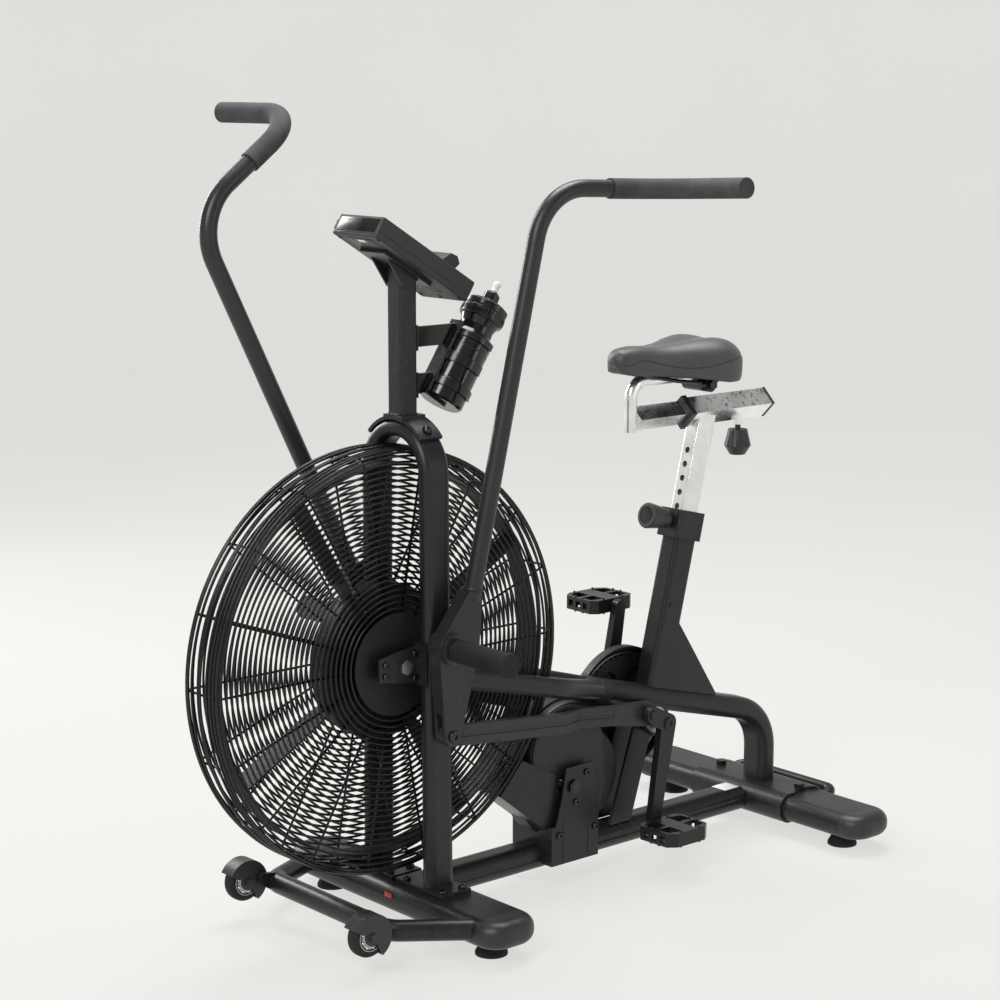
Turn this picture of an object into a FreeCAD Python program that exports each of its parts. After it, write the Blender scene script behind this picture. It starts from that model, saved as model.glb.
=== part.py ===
import FreeCAD, Part
import math
import os

os.makedirs("parts", exist_ok=True)

# Air bike, all lengths in millimetres.
# X runs across the bike (+X is the rider's left), the fan end faces -Y, Z is up.
# Everything is laid out from the fan axle (y = 0) and the floor (z = 0).
# Each piece is then moved forward by ORIGIN_Y, so the origin is the middle of the footprint.
ORIGIN_Y = 315.8

# Running and parting clearances.
RUNNING_FIT = 0.05
PART_GAP = 0.3

# Floor frame.
FRONT_STAB_Y = 55.0
REAR_STAB_Y = 880.0
STAB_DEPTH = 108.0
STAB_HEIGHT = 44.0
STAB_BOTTOM = 26.0
STAB_CORNER = 20.0
STAB_WALL = 3.0
FRONT_STAB_HALF = 276.0
REAR_STAB_HALF = 290.0
END_CAP_LENGTH = 44.0
END_CAP_PLAN_RADIUS = 43.0
FOOT_X_FRONT = 207.0
FOOT_X_REAR = 211.5
FOOT_RADIUS = 26.0
BEAM_WIDTH = 56.0
BEAM_HEIGHT = 44.0
BEAM_Z = 50.0
SLEEVE_HALF = 113.0
SLEEVE_WALL = 5.0

# Fan fork and console post.
LEG_Y = 56.0
LEG_DEPTH = 52.0
LEG_THICKNESS = 27.0
LEG_CORNER = 13.0
LEG_WALL = 2.5
LEG_FOOT_X = 77.0
LEG_FOOT_Z = 77.0
ARCH_RADIUS = 71.0
ARCH_Z = 739.0
POST_Y = 52.0
POST_WIDTH = 37.0
POST_DEPTH = 33.0
POST_TOP = 1043.0

# Fan and its wire cage.
FAN_Z = 444.0
CAGE_RADIUS = 339.5
CAGE_FACE_X = 45.0
CAGE_CORNER = 16.0
CAGE_PITCH = 9.6
CAGE_FIRST_RING = 90.0
CAGE_MIDDLE_X = 2.6
CAGE_SPOKES = 18
WIRE_RADIUS = 2.0
WIRE_SIDES = 6
CAGE_HUB_RADIUS = 82.0
FAN_HUB_RADIUS = 125.0
FAN_TIP_RADIUS = 311.0
BLADE_HALF_WIDTH = 23.0
BLADE_ANGLES = (30.0, 120.0, 210.0, 300.0)
AXLE_RADIUS = 8.0

# Drive train.
CRANK_Y = 566.0
CRANK_Z = 252.0
CRANK_LENGTH = 178.0
CRANK_ANGLE = 9.84
CRANK_INNER_X = 70.0
CRANK_OUTER_X = 84.0
SPINDLE_RADIUS = 10.0
PIN_FORWARD = 36.17
PIN_UP = 20.0
JACK_Y = 374.0
JACK_Z = 170.0
CHAIN_PITCH = 12.7
CRANK_TEETH = 48
JACK_SMALL_TEETH = 14
JACK_LARGE_TEETH = 24
FAN_TEETH = 12
CRANK_CHAIN_X = -40.0
FAN_CHAIN_X = -52.5
CHAIN_HALF = 2.0
CHAIN_DEPTH = 3.0
TOOTH_ABOVE_PITCH = 2.0

# Pedals.
PEDAL_INNER_X = 88.0
PEDAL_OUTER_X = 172.0
PEDAL_HALF_LENGTH = 50.0
PEDAL_HALF_HEIGHT = 12.0
PEDAL_SPINDLE_RADIUS = 7.0

# Handle arms, measured from the foot peg axis in the arm's own frame.
PEG_Y = 49.0
PEG_Z = 475.0
PEG_SHAFT_RADIUS = 10.0
PEG_END_X = 262.0
ARM_X = 112.0
SWING_LEFT = -17.7
SWING_RIGHT = 20.6
ARM_TUBE_RADIUS = 14.0
GRIP_RADIUS = 16.5
ARM_KNEE = (129.5, -38.0, 729.0)
ARM_ELBOW = (139.0, 207.0, 797.0)
ARM_TIP = (324.0, 193.0, 802.0)
ARM_START = (117.0, 20.5, 82.0)
LINK_PIN_Y = 43.8
LINK_PIN_Z = -134.0
LINK_PIN_RADIUS = 6.0

# Link bars.
LINK_HEIGHT = 34.0
LINK_THICKNESS = 12.0
LINK_REAR_X = 62.5
LINK_LENGTH = 483.8
LINK_EYE_RADIUS = 22.0

# Seat.
SEAT_LEAN = 13.98
SEAT_AXIS_Y = 680.0
SEAT_AXIS_Z = 600.0
SEAT_TUBE_DEPTH = 50.0
SEAT_TUBE_WIDTH = 40.0
SEAT_POST_DEPTH = 40.0
SEAT_POST_WIDTH = 32.0
SLIDE_Z = 774.0
SLIDE_HALF_DIAGONAL = 25.5
SLIDE_INNER_DIAGONAL = 21.0
SLIDE_FRONT = 680.0
SLIDE_REAR = 874.0
SEAT_BAR_RADIUS = 11.0
SEAT_BAR_Z = 838.0
SEAT_BAR_Y = 547.0

# Console, in the plane of its face: down the face and out of the face.
CONSOLE_TOP_Y = -23.0
CONSOLE_TOP_Z = 1144.0
CONSOLE_TILT = 31.6
CONSOLE_LENGTH = 210.0
CONSOLE_WIDTH = 110.0
CONSOLE_THICKNESS = 34.6

# Bottle.
BOTTLE_Y = 127.0
BOTTLE_Z = 841.0
BOTTLE_LEAN = 33.8
BOTTLE_RADIUS = 36.5
BOTTLE_BODY = 150.0

# Transport wheels.
WHEEL_X = 164.0
WHEEL_Y = -154.0
WHEEL_Z = 69.0
WHEEL_RADIUS = 33.0
WHEEL_HALF_WIDTH = 11.0

X_AXIS = FreeCAD.Vector(1, 0, 0)
Y_AXIS = FreeCAD.Vector(0, 1, 0)
Z_AXIS = FreeCAD.Vector(0, 0, 1)
ORIGIN = FreeCAD.Vector(0, 0, 0)


def vec(x, y, z):
    return FreeCAD.Vector(x, y, z)


def box(x0, x1, y0, y1, z0, z1):
    return Part.makeBox(x1 - x0, y1 - y0, z1 - z0, vec(x0, y0, z0))


def rod(start, end, radius):
    span = end.sub(start)
    return Part.makeCylinder(radius, span.Length, start, span)


def rod_x(x0, x1, y, z, radius):
    return rod(vec(x0, y, z), vec(x1, y, z), radius)


def rod_z(x, y, z0, z1, radius):
    return rod(vec(x, y, z0), vec(x, y, z1), radius)


def ring_x(x0, x1, y, z, outer, inner):
    return rod_x(x0, x1, y, z, outer).cut(rod_x(x0 - 1, x1 + 1, y, z, inner))


def cone_z(x, y, z0, z1, radius0, radius1):
    return Part.makeCone(radius0, radius1, z1 - z0, vec(x, y, z0), Z_AXIS)


def fuse(shapes):
    whole = shapes[0]
    if len(shapes) > 1:
        whole = whole.multiFuse(shapes[1:])
    return whole.removeSplitter()


def group(shapes):
    solids = []
    for shape in shapes:
        solids.extend(shape.Solids)
    return Part.makeCompound(solids)


def mirrored(shape):
    return shape.mirror(ORIGIN, X_AXIS)


def turned_x(shape, angle, y, z):
    result = shape.copy()
    result.rotate(vec(0, y, z), X_AXIS, angle)
    return result


def turned_point(y, z, angle):
    radians = math.radians(angle)
    cosine = math.cos(radians)
    sine = math.sin(radians)
    return y * cosine - z * sine, y * sine + z * cosine


def prism(points, direction):
    corners = [vec(*point) for point in points]
    corners.append(corners[0])
    return Part.Face(Part.makePolygon(corners)).extrude(direction)


def prism_x(outline, x0, x1):
    points = [(x0, y, z) for y, z in outline]
    return prism(points, vec(x1 - x0, 0, 0))


def capsule_x(first, second, x0, x1):
    """Two discs in a side view and the flat web tangent to both of them."""
    y0, z0, r0 = first
    y1, z1, r1 = second
    base = math.atan2(z1 - z0, y1 - y0)
    spread = math.acos((r0 - r1) / math.hypot(y1 - y0, z1 - z0))
    outline = []
    for y, z, r, angle in (
        (y0, z0, r0, base + spread),
        (y0, z0, r0, base - spread),
        (y1, z1, r1, base - spread),
        (y1, z1, r1, base + spread),
    ):
        outline.append((y + r * math.cos(angle), z + r * math.sin(angle)))
    web = prism_x(outline, x0, x1)
    return fuse([web, rod_x(x0, x1, y0, z0, r0), rod_x(x0, x1, y1, z1, r1)])


def hull_x(circles, x0, x1):
    """Discs in a side view joined in a closed loop, with the middle filled."""
    pieces = []
    for first, second in zip(circles, circles[1:] + circles[:1]):
        pieces.append(capsule_x(first, second, x0, x1))
    if len(circles) > 2:
        pieces.append(prism_x([(y, z) for y, z, r in circles], x0, x1))
    return fuse(pieces)


def section(centre, across, up, width, height, corner):
    """Rounded rectangle wire with its sides along two given directions."""
    half_w = width / 2
    half_h = height / 2
    bend = corner * (1 - math.sqrt(0.5))

    def at(u, v):
        return centre.add(across * u).add(up * v)

    edges = []
    for su, sv in ((1, 1), (-1, 1), (-1, -1), (1, -1)):
        side = at(su * half_w, sv * (half_h - corner))
        middle = at(su * (half_w - bend), sv * (half_h - bend))
        top = at(su * (half_w - corner), sv * half_h)
        if su * sv > 0:
            edges.append((side, middle, top))
        else:
            edges.append((top, middle, side))
    curves = []
    for index, (start, middle, end) in enumerate(edges):
        curves.append(Part.Arc(start, middle, end).toShape())
        following = edges[(index + 1) % 4][0]
        if end.sub(following).Length > 0.001:
            curves.append(Part.makeLine(end, following))
    return Part.Wire(curves)


def path(points, radii):
    """Polyline wire with each inner corner rounded to its own bend radius."""
    corners = [vec(*point) for point in points]
    edges = []
    last = corners[0]
    for index, radius in enumerate(radii):
        corner = corners[index + 1]
        back = corners[index].sub(corner).normalize()
        ahead = corners[index + 2].sub(corner).normalize()
        half = back.getAngle(ahead) / 2
        reach = radius / math.tan(half)
        start = corner.add(back * reach)
        end = corner.add(ahead * reach)
        bisector = back.add(ahead).normalize()
        middle = corner.add(bisector * (radius / math.sin(half) - radius))
        edges.append(Part.makeLine(last, start))
        edges.append(Part.Arc(start, middle, end).toShape())
        last = end
    edges.append(Part.makeLine(last, corners[-1]))
    return Part.Wire(edges)


def pipe(points, radii, radius):
    spine = path(points, radii)
    start = vec(*points[0])
    direction = vec(*points[1]).sub(start)
    ring = Part.Wire([Part.makeCircle(radius, start, direction)])
    return spine.makePipeShell([ring], True, False)


def swept(spine, wire):
    return spine.makePipeShell([wire], True, False)


def teeth_outline(count, pitch_radius, y, z, above):
    """Side outline of a sprocket, one low and one high point per tooth flank."""
    points = []
    for index in range(count * 4):
        angle = 2 * math.pi * index / (count * 4)
        high = index % 4 in (1, 2)
        radius = pitch_radius + (above if high else -above)
        points.append((y + radius * math.cos(angle), z + radius * math.sin(angle)))
    return points


def pitch_radius(teeth):
    return CHAIN_PITCH / (2 * math.sin(math.pi / teeth))


def button_head(centre, direction, radius, height):
    """Domed socket screw head standing on a face."""
    head = Part.makeCylinder(radius, height, centre, direction)
    rim = [edge for edge in head.Edges if abs(edge.Length - 2 * math.pi * radius) < 0.01]
    far = max(rim, key=lambda edge: edge.BoundBox.Center.sub(centre).dot(direction))
    head = head.makeFillet(height * 0.55, [far])
    top = centre.add(vec(direction.x, direction.y, direction.z).normalize() * height * 0.55)
    return head.cut(Part.makeCylinder(radius * 0.42, height, top, direction))


def hex_prism(centre, direction, across_flats, height):
    """Six-sided nut or bolt head along a direction."""
    circle = across_flats / math.sqrt(3)
    corners = []
    for index in range(6):
        angle = math.radians(60 * index)
        corners.append((circle * math.cos(angle), circle * math.sin(angle), 0))
    nut = prism(corners, vec(0, 0, height))
    turn = FreeCAD.Rotation(Z_AXIS, direction)
    nut.Placement = FreeCAD.Placement(centre, turn)
    return nut


def save(name, shape):
    placed = shape.copy()
    placed.translate(vec(0, -ORIGIN_Y, 0))
    placed.exportStep("parts/" + name + ".step")


# ---------------------------------------------------------------- floor frame

STAB_Z = STAB_BOTTOM + STAB_HEIGHT / 2
STAB_TOP = STAB_BOTTOM + STAB_HEIGHT


def stabiliser_outer(y, half, grow):
    start = vec(-half, y, STAB_Z)
    width = STAB_DEPTH + 2 * grow
    height = STAB_HEIGHT + 2 * grow
    wire = section(start, Y_AXIS, Z_AXIS, width, height, STAB_CORNER + grow)
    return Part.Face(wire).extrude(vec(2 * half, 0, 0))


def stabiliser(y, half):
    reach = half - END_CAP_LENGTH
    outer = stabiliser_outer(y, reach, 0)
    return outer.cut(stabiliser_outer(y, reach + 1, -STAB_WALL))


def end_cap(y, half):
    """Bullet-shaped plug: the upright tip edges are rounded first, then the upper and lower rims."""
    root = half - END_CAP_LENGTH
    depth = STAB_DEPTH / 2
    cap = box(root, half, y - depth, y + depth, STAB_BOTTOM, STAB_BOTTOM + STAB_HEIGHT)
    upright = [edge for edge in cap.Edges if edge.BoundBox.XMin > half - 0.01 and edge.BoundBox.ZLength > 1]
    cap = cap.makeFillet(END_CAP_PLAN_RADIUS, upright)
    rims = [edge for edge in cap.Edges if edge.BoundBox.XMax > root + 0.01 and edge.BoundBox.ZLength < 0.01]
    return cap.makeFillet(STAB_CORNER, rims)


def foot_places():
    places = []
    for side in (-1, 1):
        places.append((side * FOOT_X_FRONT, FRONT_STAB_Y + 2))
        places.append((side * FOOT_X_REAR, REAR_STAB_Y - 2))
    return places


def levelling_foot(x, y):
    lip = rod_z(x, y, 0, 4, FOOT_RADIUS)
    body = cone_z(x, y, 4, 18, FOOT_RADIUS, FOOT_RADIUS * 0.7)
    return fuse([lip, body])


def foot_stud(x, y):
    stud = rod_z(x, y, 18, STAB_BOTTOM, 5)
    nut = hex_prism(vec(x, y, STAB_BOTTOM - 4.5), Z_AXIS, 16, 4.5)
    return fuse([stud, nut])


front_stab = stabiliser(FRONT_STAB_Y, FRONT_STAB_HALF)
rear_stab = stabiliser(REAR_STAB_Y, REAR_STAB_HALF)
save("front_stabiliser", front_stab)
save("rear_stabiliser", rear_stab)

caps = []
for stab_y, stab_half in ((FRONT_STAB_Y, FRONT_STAB_HALF), (REAR_STAB_Y, REAR_STAB_HALF)):
    cap = end_cap(stab_y, stab_half)
    caps.extend([cap, mirrored(cap)])
save("stabiliser_end_caps", group(caps))
save("levelling_feet", group([levelling_foot(x, y) for x, y in foot_places()]))
save("foot_studs", group([foot_stud(x, y) for x, y in foot_places()]))

# Main beam: an oval tube with a rolled groove down each side.
BEAM_FRONT = FRONT_STAB_Y + STAB_DEPTH / 2
BEAM_REAR = REAR_STAB_Y - STAB_DEPTH / 2 - SLEEVE_WALL


def beam_solid(shrink):
    start = vec(0, BEAM_FRONT, BEAM_Z)
    width = BEAM_WIDTH - 2 * shrink
    height = BEAM_HEIGHT - 2 * shrink
    wire = section(start, X_AXIS, Z_AXIS, width, height, 18.0 - shrink)
    return Part.Face(wire).extrude(vec(0, BEAM_REAR - BEAM_FRONT, 0))


grooves = []
for side in (-1, 1):
    groove_x = side * (BEAM_WIDTH / 2 + 4)
    grooves.append(rod(vec(groove_x, BEAM_FRONT, BEAM_Z), vec(groove_x, BEAM_REAR, BEAM_Z), 6))
main_beam_outer = beam_solid(0).cut(grooves[0]).cut(grooves[1])
save("main_beam", main_beam_outer.cut(beam_solid(5.0)))

# Rear sleeve: a folded saddle over the rear stabiliser that the beams are welded to.
sleeve = stabiliser_outer(REAR_STAB_Y, SLEEVE_HALF, SLEEVE_WALL)
sleeve = sleeve.cut(stabiliser_outer(REAR_STAB_Y, SLEEVE_HALF + 1, 0.05))
SLEEVE_TOP = STAB_TOP + SLEEVE_WALL
for side in (-1, 1):
    scallop = rod_z(side * (SLEEVE_HALF + 36), REAR_STAB_Y + 10, SLEEVE_TOP - 8, SLEEVE_TOP + 2, 46)
    sleeve = sleeve.cut(scallop)
save("rear_sleeve", sleeve)

# Rear carry handle: a thin bent bar behind the rear stabiliser.
HANDLE_ROOT_Y = REAR_STAB_Y + STAB_DEPTH / 2
carry = pipe(
    [
        (-116, HANDLE_ROOT_Y, 52),
        (-116, 964, 60),
        (116, 964, 60),
        (116, HANDLE_ROOT_Y, 52),
    ],
    [20, 20],
    9.0,
)
carry = carry.cut(stabiliser_outer(REAR_STAB_Y, REAR_STAB_HALF, 0)).cut(sleeve)
save("carry_handle", carry)

# Transport frame: a bent tube in front of the front stabiliser that carries the two wheels.
transport = pipe(
    [
        (214, FRONT_STAB_Y - 42, 52),
        (150, -104, 60),
        (-150, -104, 60),
        (-214, FRONT_STAB_Y - 42, 52),
    ],
    [34, 34],
    17.0,
)
transport = transport.cut(stabiliser_outer(FRONT_STAB_Y, FRONT_STAB_HALF, 0))
lugs = []
for side in (-1, 1):
    lug = capsule_x((-112, 64, 14), (WHEEL_Y + 24, WHEEL_Z + 2, 10), -4, 4)
    lug.translate(vec(side * (WHEEL_X - 20), 0, 0))
    lugs.append(lug)
transport = fuse([transport] + lugs)
save("transport_frame", transport)


def wheel_tyre_and_hub():
    tyre = ring_x(-WHEEL_HALF_WIDTH, WHEEL_HALF_WIDTH, 0, 0, WHEEL_RADIUS, 19)
    outer = [edge for edge in tyre.Edges if abs(edge.Length - 2 * math.pi * WHEEL_RADIUS) < 0.1]
    tyre = tyre.makeFillet(7.0, outer)
    hub = ring_x(-9, 9, 0, 0, 9, 4 + RUNNING_FIT)
    rim = ring_x(-9, 9, 0, 0, 19, 16)
    spokes = []
    for index in range(5):
        spoke = box(-4, 4, -2.5, 2.5, 8, 17)
        spokes.append(turned_x(spoke, 72 * index, 0, 0))
    return fuse([tyre, hub, rim] + spokes)


def fender():
    """Hood over the upper rear of a wheel, open at the lower front."""
    outer = rod_x(-15, 15, 0, 0, WHEEL_RADIUS + 3.5)
    inner = rod_x(-13, 13, 0, 0, WHEEL_RADIUS + 1.5)
    hood = outer.cut(inner)
    opening = prism_x([(0, 0), (-60, 30), (-60, -60), (34, -60)], -20, 20)
    hood = hood.cut(opening)
    cheeks = fuse([rod_x(13, 15, 0, 0, 13), rod_x(-15, -13, 0, 0, 13)])
    pin = rod_x(-17, 17, 0, 0, 4)
    head = rod_x(15, 19, 0, 0, 7)
    nut = hex_prism(vec(-20, 0, 0), X_AXIS, 12, 5)
    return fuse([hood, cheeks, pin, head, nut])


wheel = wheel_tyre_and_hub()
fenders = []
for side, name in ((1, "left"), (-1, "right")):
    placed = wheel.copy()
    placed.translate(vec(side * WHEEL_X, WHEEL_Y, WHEEL_Z))
    save("transport_wheel_" + name, placed)
    hood = fender() if side > 0 else mirrored(fender())
    hood = hood.copy()
    hood.translate(vec(side * WHEEL_X, WHEEL_Y, WHEEL_Z))
    fenders.append(hood.cut(transport))
save("wheel_fenders", group(fenders))

# ---------------------------------------------------------------- fan fork and post


def fork_solid(width, depth, corner):
    drop = math.hypot(LEG_FOOT_X, ARCH_Z - LEG_FOOT_Z)
    lean = math.asin(ARCH_RADIUS / drop) - math.atan2(LEG_FOOT_X, ARCH_Z - LEG_FOOT_Z)
    touch_x = ARCH_RADIUS * math.cos(lean)
    touch_z = ARCH_Z - ARCH_RADIUS * math.sin(lean)
    foot = vec(LEG_FOOT_X, LEG_Y, LEG_FOOT_Z)
    right = vec(touch_x, LEG_Y, touch_z)
    left = vec(-touch_x, LEG_Y, touch_z)
    top = vec(0, LEG_Y, ARCH_Z + ARCH_RADIUS)
    spine = Part.Wire(
        [
            Part.makeLine(foot, right),
            Part.Arc(right, top, left).toShape(),
            Part.makeLine(left, vec(-LEG_FOOT_X, LEG_Y, LEG_FOOT_Z)),
        ]
    )
    up = right.sub(foot).normalize()
    across = Y_AXIS.cross(up)
    return swept(spine, section(foot, across, Y_AXIS, width, depth, corner))


fork_outer = fork_solid(LEG_THICKNESS, LEG_DEPTH, LEG_CORNER)
fork_inner = fork_solid(LEG_THICKNESS - 2 * LEG_WALL, LEG_DEPTH - 2 * LEG_WALL, LEG_CORNER - LEG_WALL)
base_plates = []
for side in (-1, 1):
    plate = box(4, 122, 27, 87, STAB_TOP, LEG_FOOT_Z)
    if side < 0:
        plate = mirrored(plate)
    base_plates.append(plate)
fork = fuse([fork_outer.cut(fork_inner)] + base_plates)
save("fan_fork", fork)

# Saddle on the arch: a curved strap with a flat pad for the console post.
strap = rod(vec(0, LEG_Y - 22, ARCH_Z), vec(0, LEG_Y + 22, ARCH_Z), ARCH_RADIUS + 19.5)
strap = strap.cut(rod(vec(0, 0, ARCH_Z), vec(0, 120, ARCH_Z), ARCH_RADIUS + 13.6))
wedge = prism(
    [(0, 20, ARCH_Z), (-80, 20, ARCH_Z + 72), (-80, 20, 900), (80, 20, 900), (80, 20, ARCH_Z + 72)],
    vec(0, 80, 0),
)
strap = strap.common(wedge)
PAD_TOP = ARCH_Z + ARCH_RADIUS + 20.5
pad = box(-24, 24, LEG_Y - 24, LEG_Y + 22, ARCH_Z + ARCH_RADIUS + 6.5, PAD_TOP)
pad = pad.cut(rod(vec(0, 0, ARCH_Z), vec(0, 120, ARCH_Z), ARCH_RADIUS + 13.6))
post_saddle = fuse([strap, pad])
save("post_saddle", post_saddle)


def tilt_frame():
    tilt = math.radians(CONSOLE_TILT)
    down = vec(0, math.cos(tilt), -math.sin(tilt))
    out = vec(0, math.sin(tilt), math.cos(tilt))
    corner = vec(0, CONSOLE_TOP_Y, CONSOLE_TOP_Z)
    return corner, down, out


def console_prism(outline, x0, x1):
    corner, down, out = tilt_frame()
    points = []
    for along, height in outline:
        place = corner.add(down * along).add(out * height)
        points.append((x0, place.y, place.z))
    return prism(points, vec(x1 - x0, 0, 0))


def console_block(x0, x1, along0, along1, height0, height1):
    outline = [(along0, height0), (along1, height0), (along1, height1), (along0, height1)]
    return console_prism(outline, x0, x1)


post_wire = section(vec(0, POST_Y, PAD_TOP), X_AXIS, Y_AXIS, POST_WIDTH, POST_DEPTH, 6)
post_core = section(vec(0, POST_Y, PAD_TOP), X_AXIS, Y_AXIS, POST_WIDTH - 5, POST_DEPTH - 5, 4)
post_height = vec(0, 0, POST_TOP + 24 - PAD_TOP)
under_console = console_block(-60, 60, -40, 260, -CONSOLE_THICKNESS - 6.2, 60)
post = Part.Face(post_wire).extrude(post_height).cut(Part.Face(post_core).extrude(post_height))
save("console_post", post.cut(under_console))

# Console bracket: a plate under the housing with two cheeks either side of the post.
bracket_plate = console_block(-31, 31, 44, 150, -CONSOLE_THICKNESS - 6, -CONSOLE_THICKNESS)
cheek_outline = [(58, -CONSOLE_THICKNESS - 5), (132, -CONSOLE_THICKNESS - 5), (112, -CONSOLE_THICKNESS - 30)]
cheek_near = console_prism(cheek_outline, POST_WIDTH / 2 + 0.1, POST_WIDTH / 2 + 3.1)
save("console_bracket", fuse([bracket_plate, cheek_near, mirrored(cheek_near)]))

# Console housing with a recessed face, a rest for a phone and a side boss.
housing = console_block(-CONSOLE_WIDTH / 2, CONSOLE_WIDTH / 2, 0, CONSOLE_LENGTH, -CONSOLE_THICKNESS, 0)
housing = housing.makeFillet(3.0, housing.Edges)
housing = housing.cut(console_block(-44, 44, 12, 86, -3, 5))
housing = housing.cut(console_block(-44, 44, 94, 132, -2, 5))
rest = console_prism([(140, -1), (152, 20), (166, 22), (176, 14), (170, -1)], -42, 42)
rest = rest.makeFillet(2.0, [edge for edge in rest.Edges if edge.Length > 80])
boss = console_block(-CONSOLE_WIDTH / 2 - 8, -CONSOLE_WIDTH / 2 + 1, 8, 26, -30, -14)
save("console_housing", fuse([housing, rest, boss]))
save("console_screen", console_block(-43.7, 43.7, 12.3, 85.7, -2.8, -0.6))
keys = []
for row in range(2):
    for column in range(4):
        key_x = -31.5 + 21 * column
        key_at = 104 + 18 * row
        key = console_block(key_x - 8, key_x + 8, key_at - 6, key_at + 6, -1.8, 1.2)
        keys.append(key.makeFillet(0.8, [edge for edge in key.Edges if edge.Length > 11]))
save("console_keys", group(keys))

# ---------------------------------------------------------------- bottle and holder


def bottle_frame(shape):
    """Move a shape drawn upright at the origin onto the leaning bottle axis."""
    placed = shape.copy()
    placed.rotate(ORIGIN, X_AXIS, -BOTTLE_LEAN)
    placed.translate(vec(0, BOTTLE_Y, BOTTLE_Z))
    return placed


def turned_profile(profile):
    """Solid of revolution about Z from (radius, height) pairs."""
    points = [vec(r, 0, h) for r, h in profile]
    points.append(points[0])
    return Part.Face(Part.makePolygon(points)).revolve(ORIGIN, Z_AXIS, 360)


bottle_profile = [
    (0, 0),
    (BOTTLE_RADIUS - 4, 0),
    (BOTTLE_RADIUS, 4),
    (BOTTLE_RADIUS, 112),
    (BOTTLE_RADIUS - 7, 126),
    (BOTTLE_RADIUS - 8, 138),
    (BOTTLE_RADIUS - 4, BOTTLE_BODY),
    (0, BOTTLE_BODY),
]
lid_profile = [
    (0, BOTTLE_BODY + 0.1),
    (BOTTLE_RADIUS - 2, BOTTLE_BODY + 0.1),
    (BOTTLE_RADIUS, BOTTLE_BODY + 2),
    (BOTTLE_RADIUS, BOTTLE_BODY + 16),
    (BOTTLE_RADIUS - 1.2, BOTTLE_BODY + 17.2),
    (BOTTLE_RADIUS, BOTTLE_BODY + 18.4),
    (BOTTLE_RADIUS, BOTTLE_BODY + 27),
    (BOTTLE_RADIUS - 6, BOTTLE_BODY + 31),
    (14, BOTTLE_BODY + 36),
    (13, BOTTLE_BODY + 48),
    (9, BOTTLE_BODY + 52),
    (0, BOTTLE_BODY + 52),
]
save("bottle", bottle_frame(turned_profile(bottle_profile)))
save("bottle_lid", bottle_frame(turned_profile(lid_profile)))

HOLDER_INNER = BOTTLE_RADIUS + PART_GAP + 0.4
HOLDER_OUTER = HOLDER_INNER + 3.0


def holder_band(z0, z1, open_half_angle):
    """Part ring round the bottle, open on the rider's side."""
    band = rod_z(0, 0, z0, z1, HOLDER_OUTER).cut(rod_z(0, 0, z0 - 1, z1 + 1, HOLDER_INNER))
    half = math.radians(open_half_angle)
    reach = 90.0
    mouth = prism(
        [
            (0, 0, z0 - 2),
            (reach * math.sin(half), reach * math.cos(half), z0 - 2),
            (-reach * math.sin(half), reach * math.cos(half), z0 - 2),
        ],
        vec(0, 0, z1 - z0 + 4),
    )
    return band.cut(mouth)


spine_plate = box(-13, 13, -HOLDER_OUTER - 3, -HOLDER_INNER - 0.5, 2, 128)
floor_tab = box(-11, 11, -HOLDER_OUTER - 3, 4, -4, -0.4)
floor_riser = box(-11, 11, -HOLDER_OUTER - 3, -HOLDER_OUTER, -4, 6)
cradle = fuse(
    [
        spine_plate,
        floor_tab,
        floor_riser,
        holder_band(20, 34, 40),
        holder_band(62, 78, 60),
        holder_band(108, 118, 58),
    ]
)
cradle = bottle_frame(cradle)
post_back = POST_Y + POST_DEPTH / 2
upper_arm = box(-3, 3, post_back, 170, 934, 966)
lower_arm = box(-3, 3, post_back, 120, 860, 892)
bottle_space = bottle_frame(rod_z(0, 0, -60, 260, HOLDER_OUTER + 2.6))
upper_pad = box(-16, 16, post_back, post_back + 3, 930, 970)
lower_pad = box(-16, 16, post_back, post_back + 3, 856, 896)
arms = fuse([upper_arm, lower_arm]).cut(bottle_space)
save("bottle_holder", fuse([cradle, arms, upper_pad, lower_pad]))

# ---------------------------------------------------------------- upper frame and seat tube

UPPER_FRONT = (0, 462, 314)
UPPER_BEND = (0, 884, 202)
BEAM_FOOT = (0, 884, SLEEVE_TOP)


def upper_beam(shrink):
    spine = path([UPPER_FRONT, UPPER_BEND, BEAM_FOOT], [88])
    along = vec(*UPPER_BEND).sub(vec(*UPPER_FRONT)).normalize()
    up = X_AXIS.cross(along)
    wire = section(vec(*UPPER_FRONT), X_AXIS, up, 56 - 2 * shrink, 40 - 2 * shrink, 16 - shrink)
    return swept(spine, wire)


def branch():
    points = [(75, LEG_Y + LEG_DEPTH / 2, 415), (63, 338, 349), (13, 470, 314)]
    start = vec(*points[0])
    along = vec(*points[1]).sub(start).normalize()
    points[0] = tuple(start.sub(along * 20))
    across = along.cross(Z_AXIS).normalize()
    wire = section(vec(*points[0]), across, across.cross(along), 26, 34, 11)
    return swept(path(points, [150]), wire).cut(fork_outer)


upper_outer = upper_beam(0)
yoke = rod_x(-29, 29, 466, 313, 21)
near_branch = branch()
upper = fuse([upper_outer.cut(upper_beam(3)), yoke, near_branch, mirrored(near_branch)])
BB_RADIUS = 25.0
BB_LEFT = 44.0
BB_RIGHT = -26.0
shell_space = rod_x(BB_RIGHT - 1, BB_LEFT + 1, CRANK_Y, CRANK_Z, BB_RADIUS)
save("upper_frame", upper.cut(shell_space).cut(rear_stab))


def seat_axis(along, forward):
    """Point on the leaning seat axis, a height along it and a distance in front of it."""
    lean = math.radians(SEAT_LEAN)
    y = SEAT_AXIS_Y + along * math.sin(lean) - forward * math.cos(lean)
    z = SEAT_AXIS_Z + along * math.cos(lean) + forward * math.sin(lean)
    return vec(0, y, z)


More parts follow.
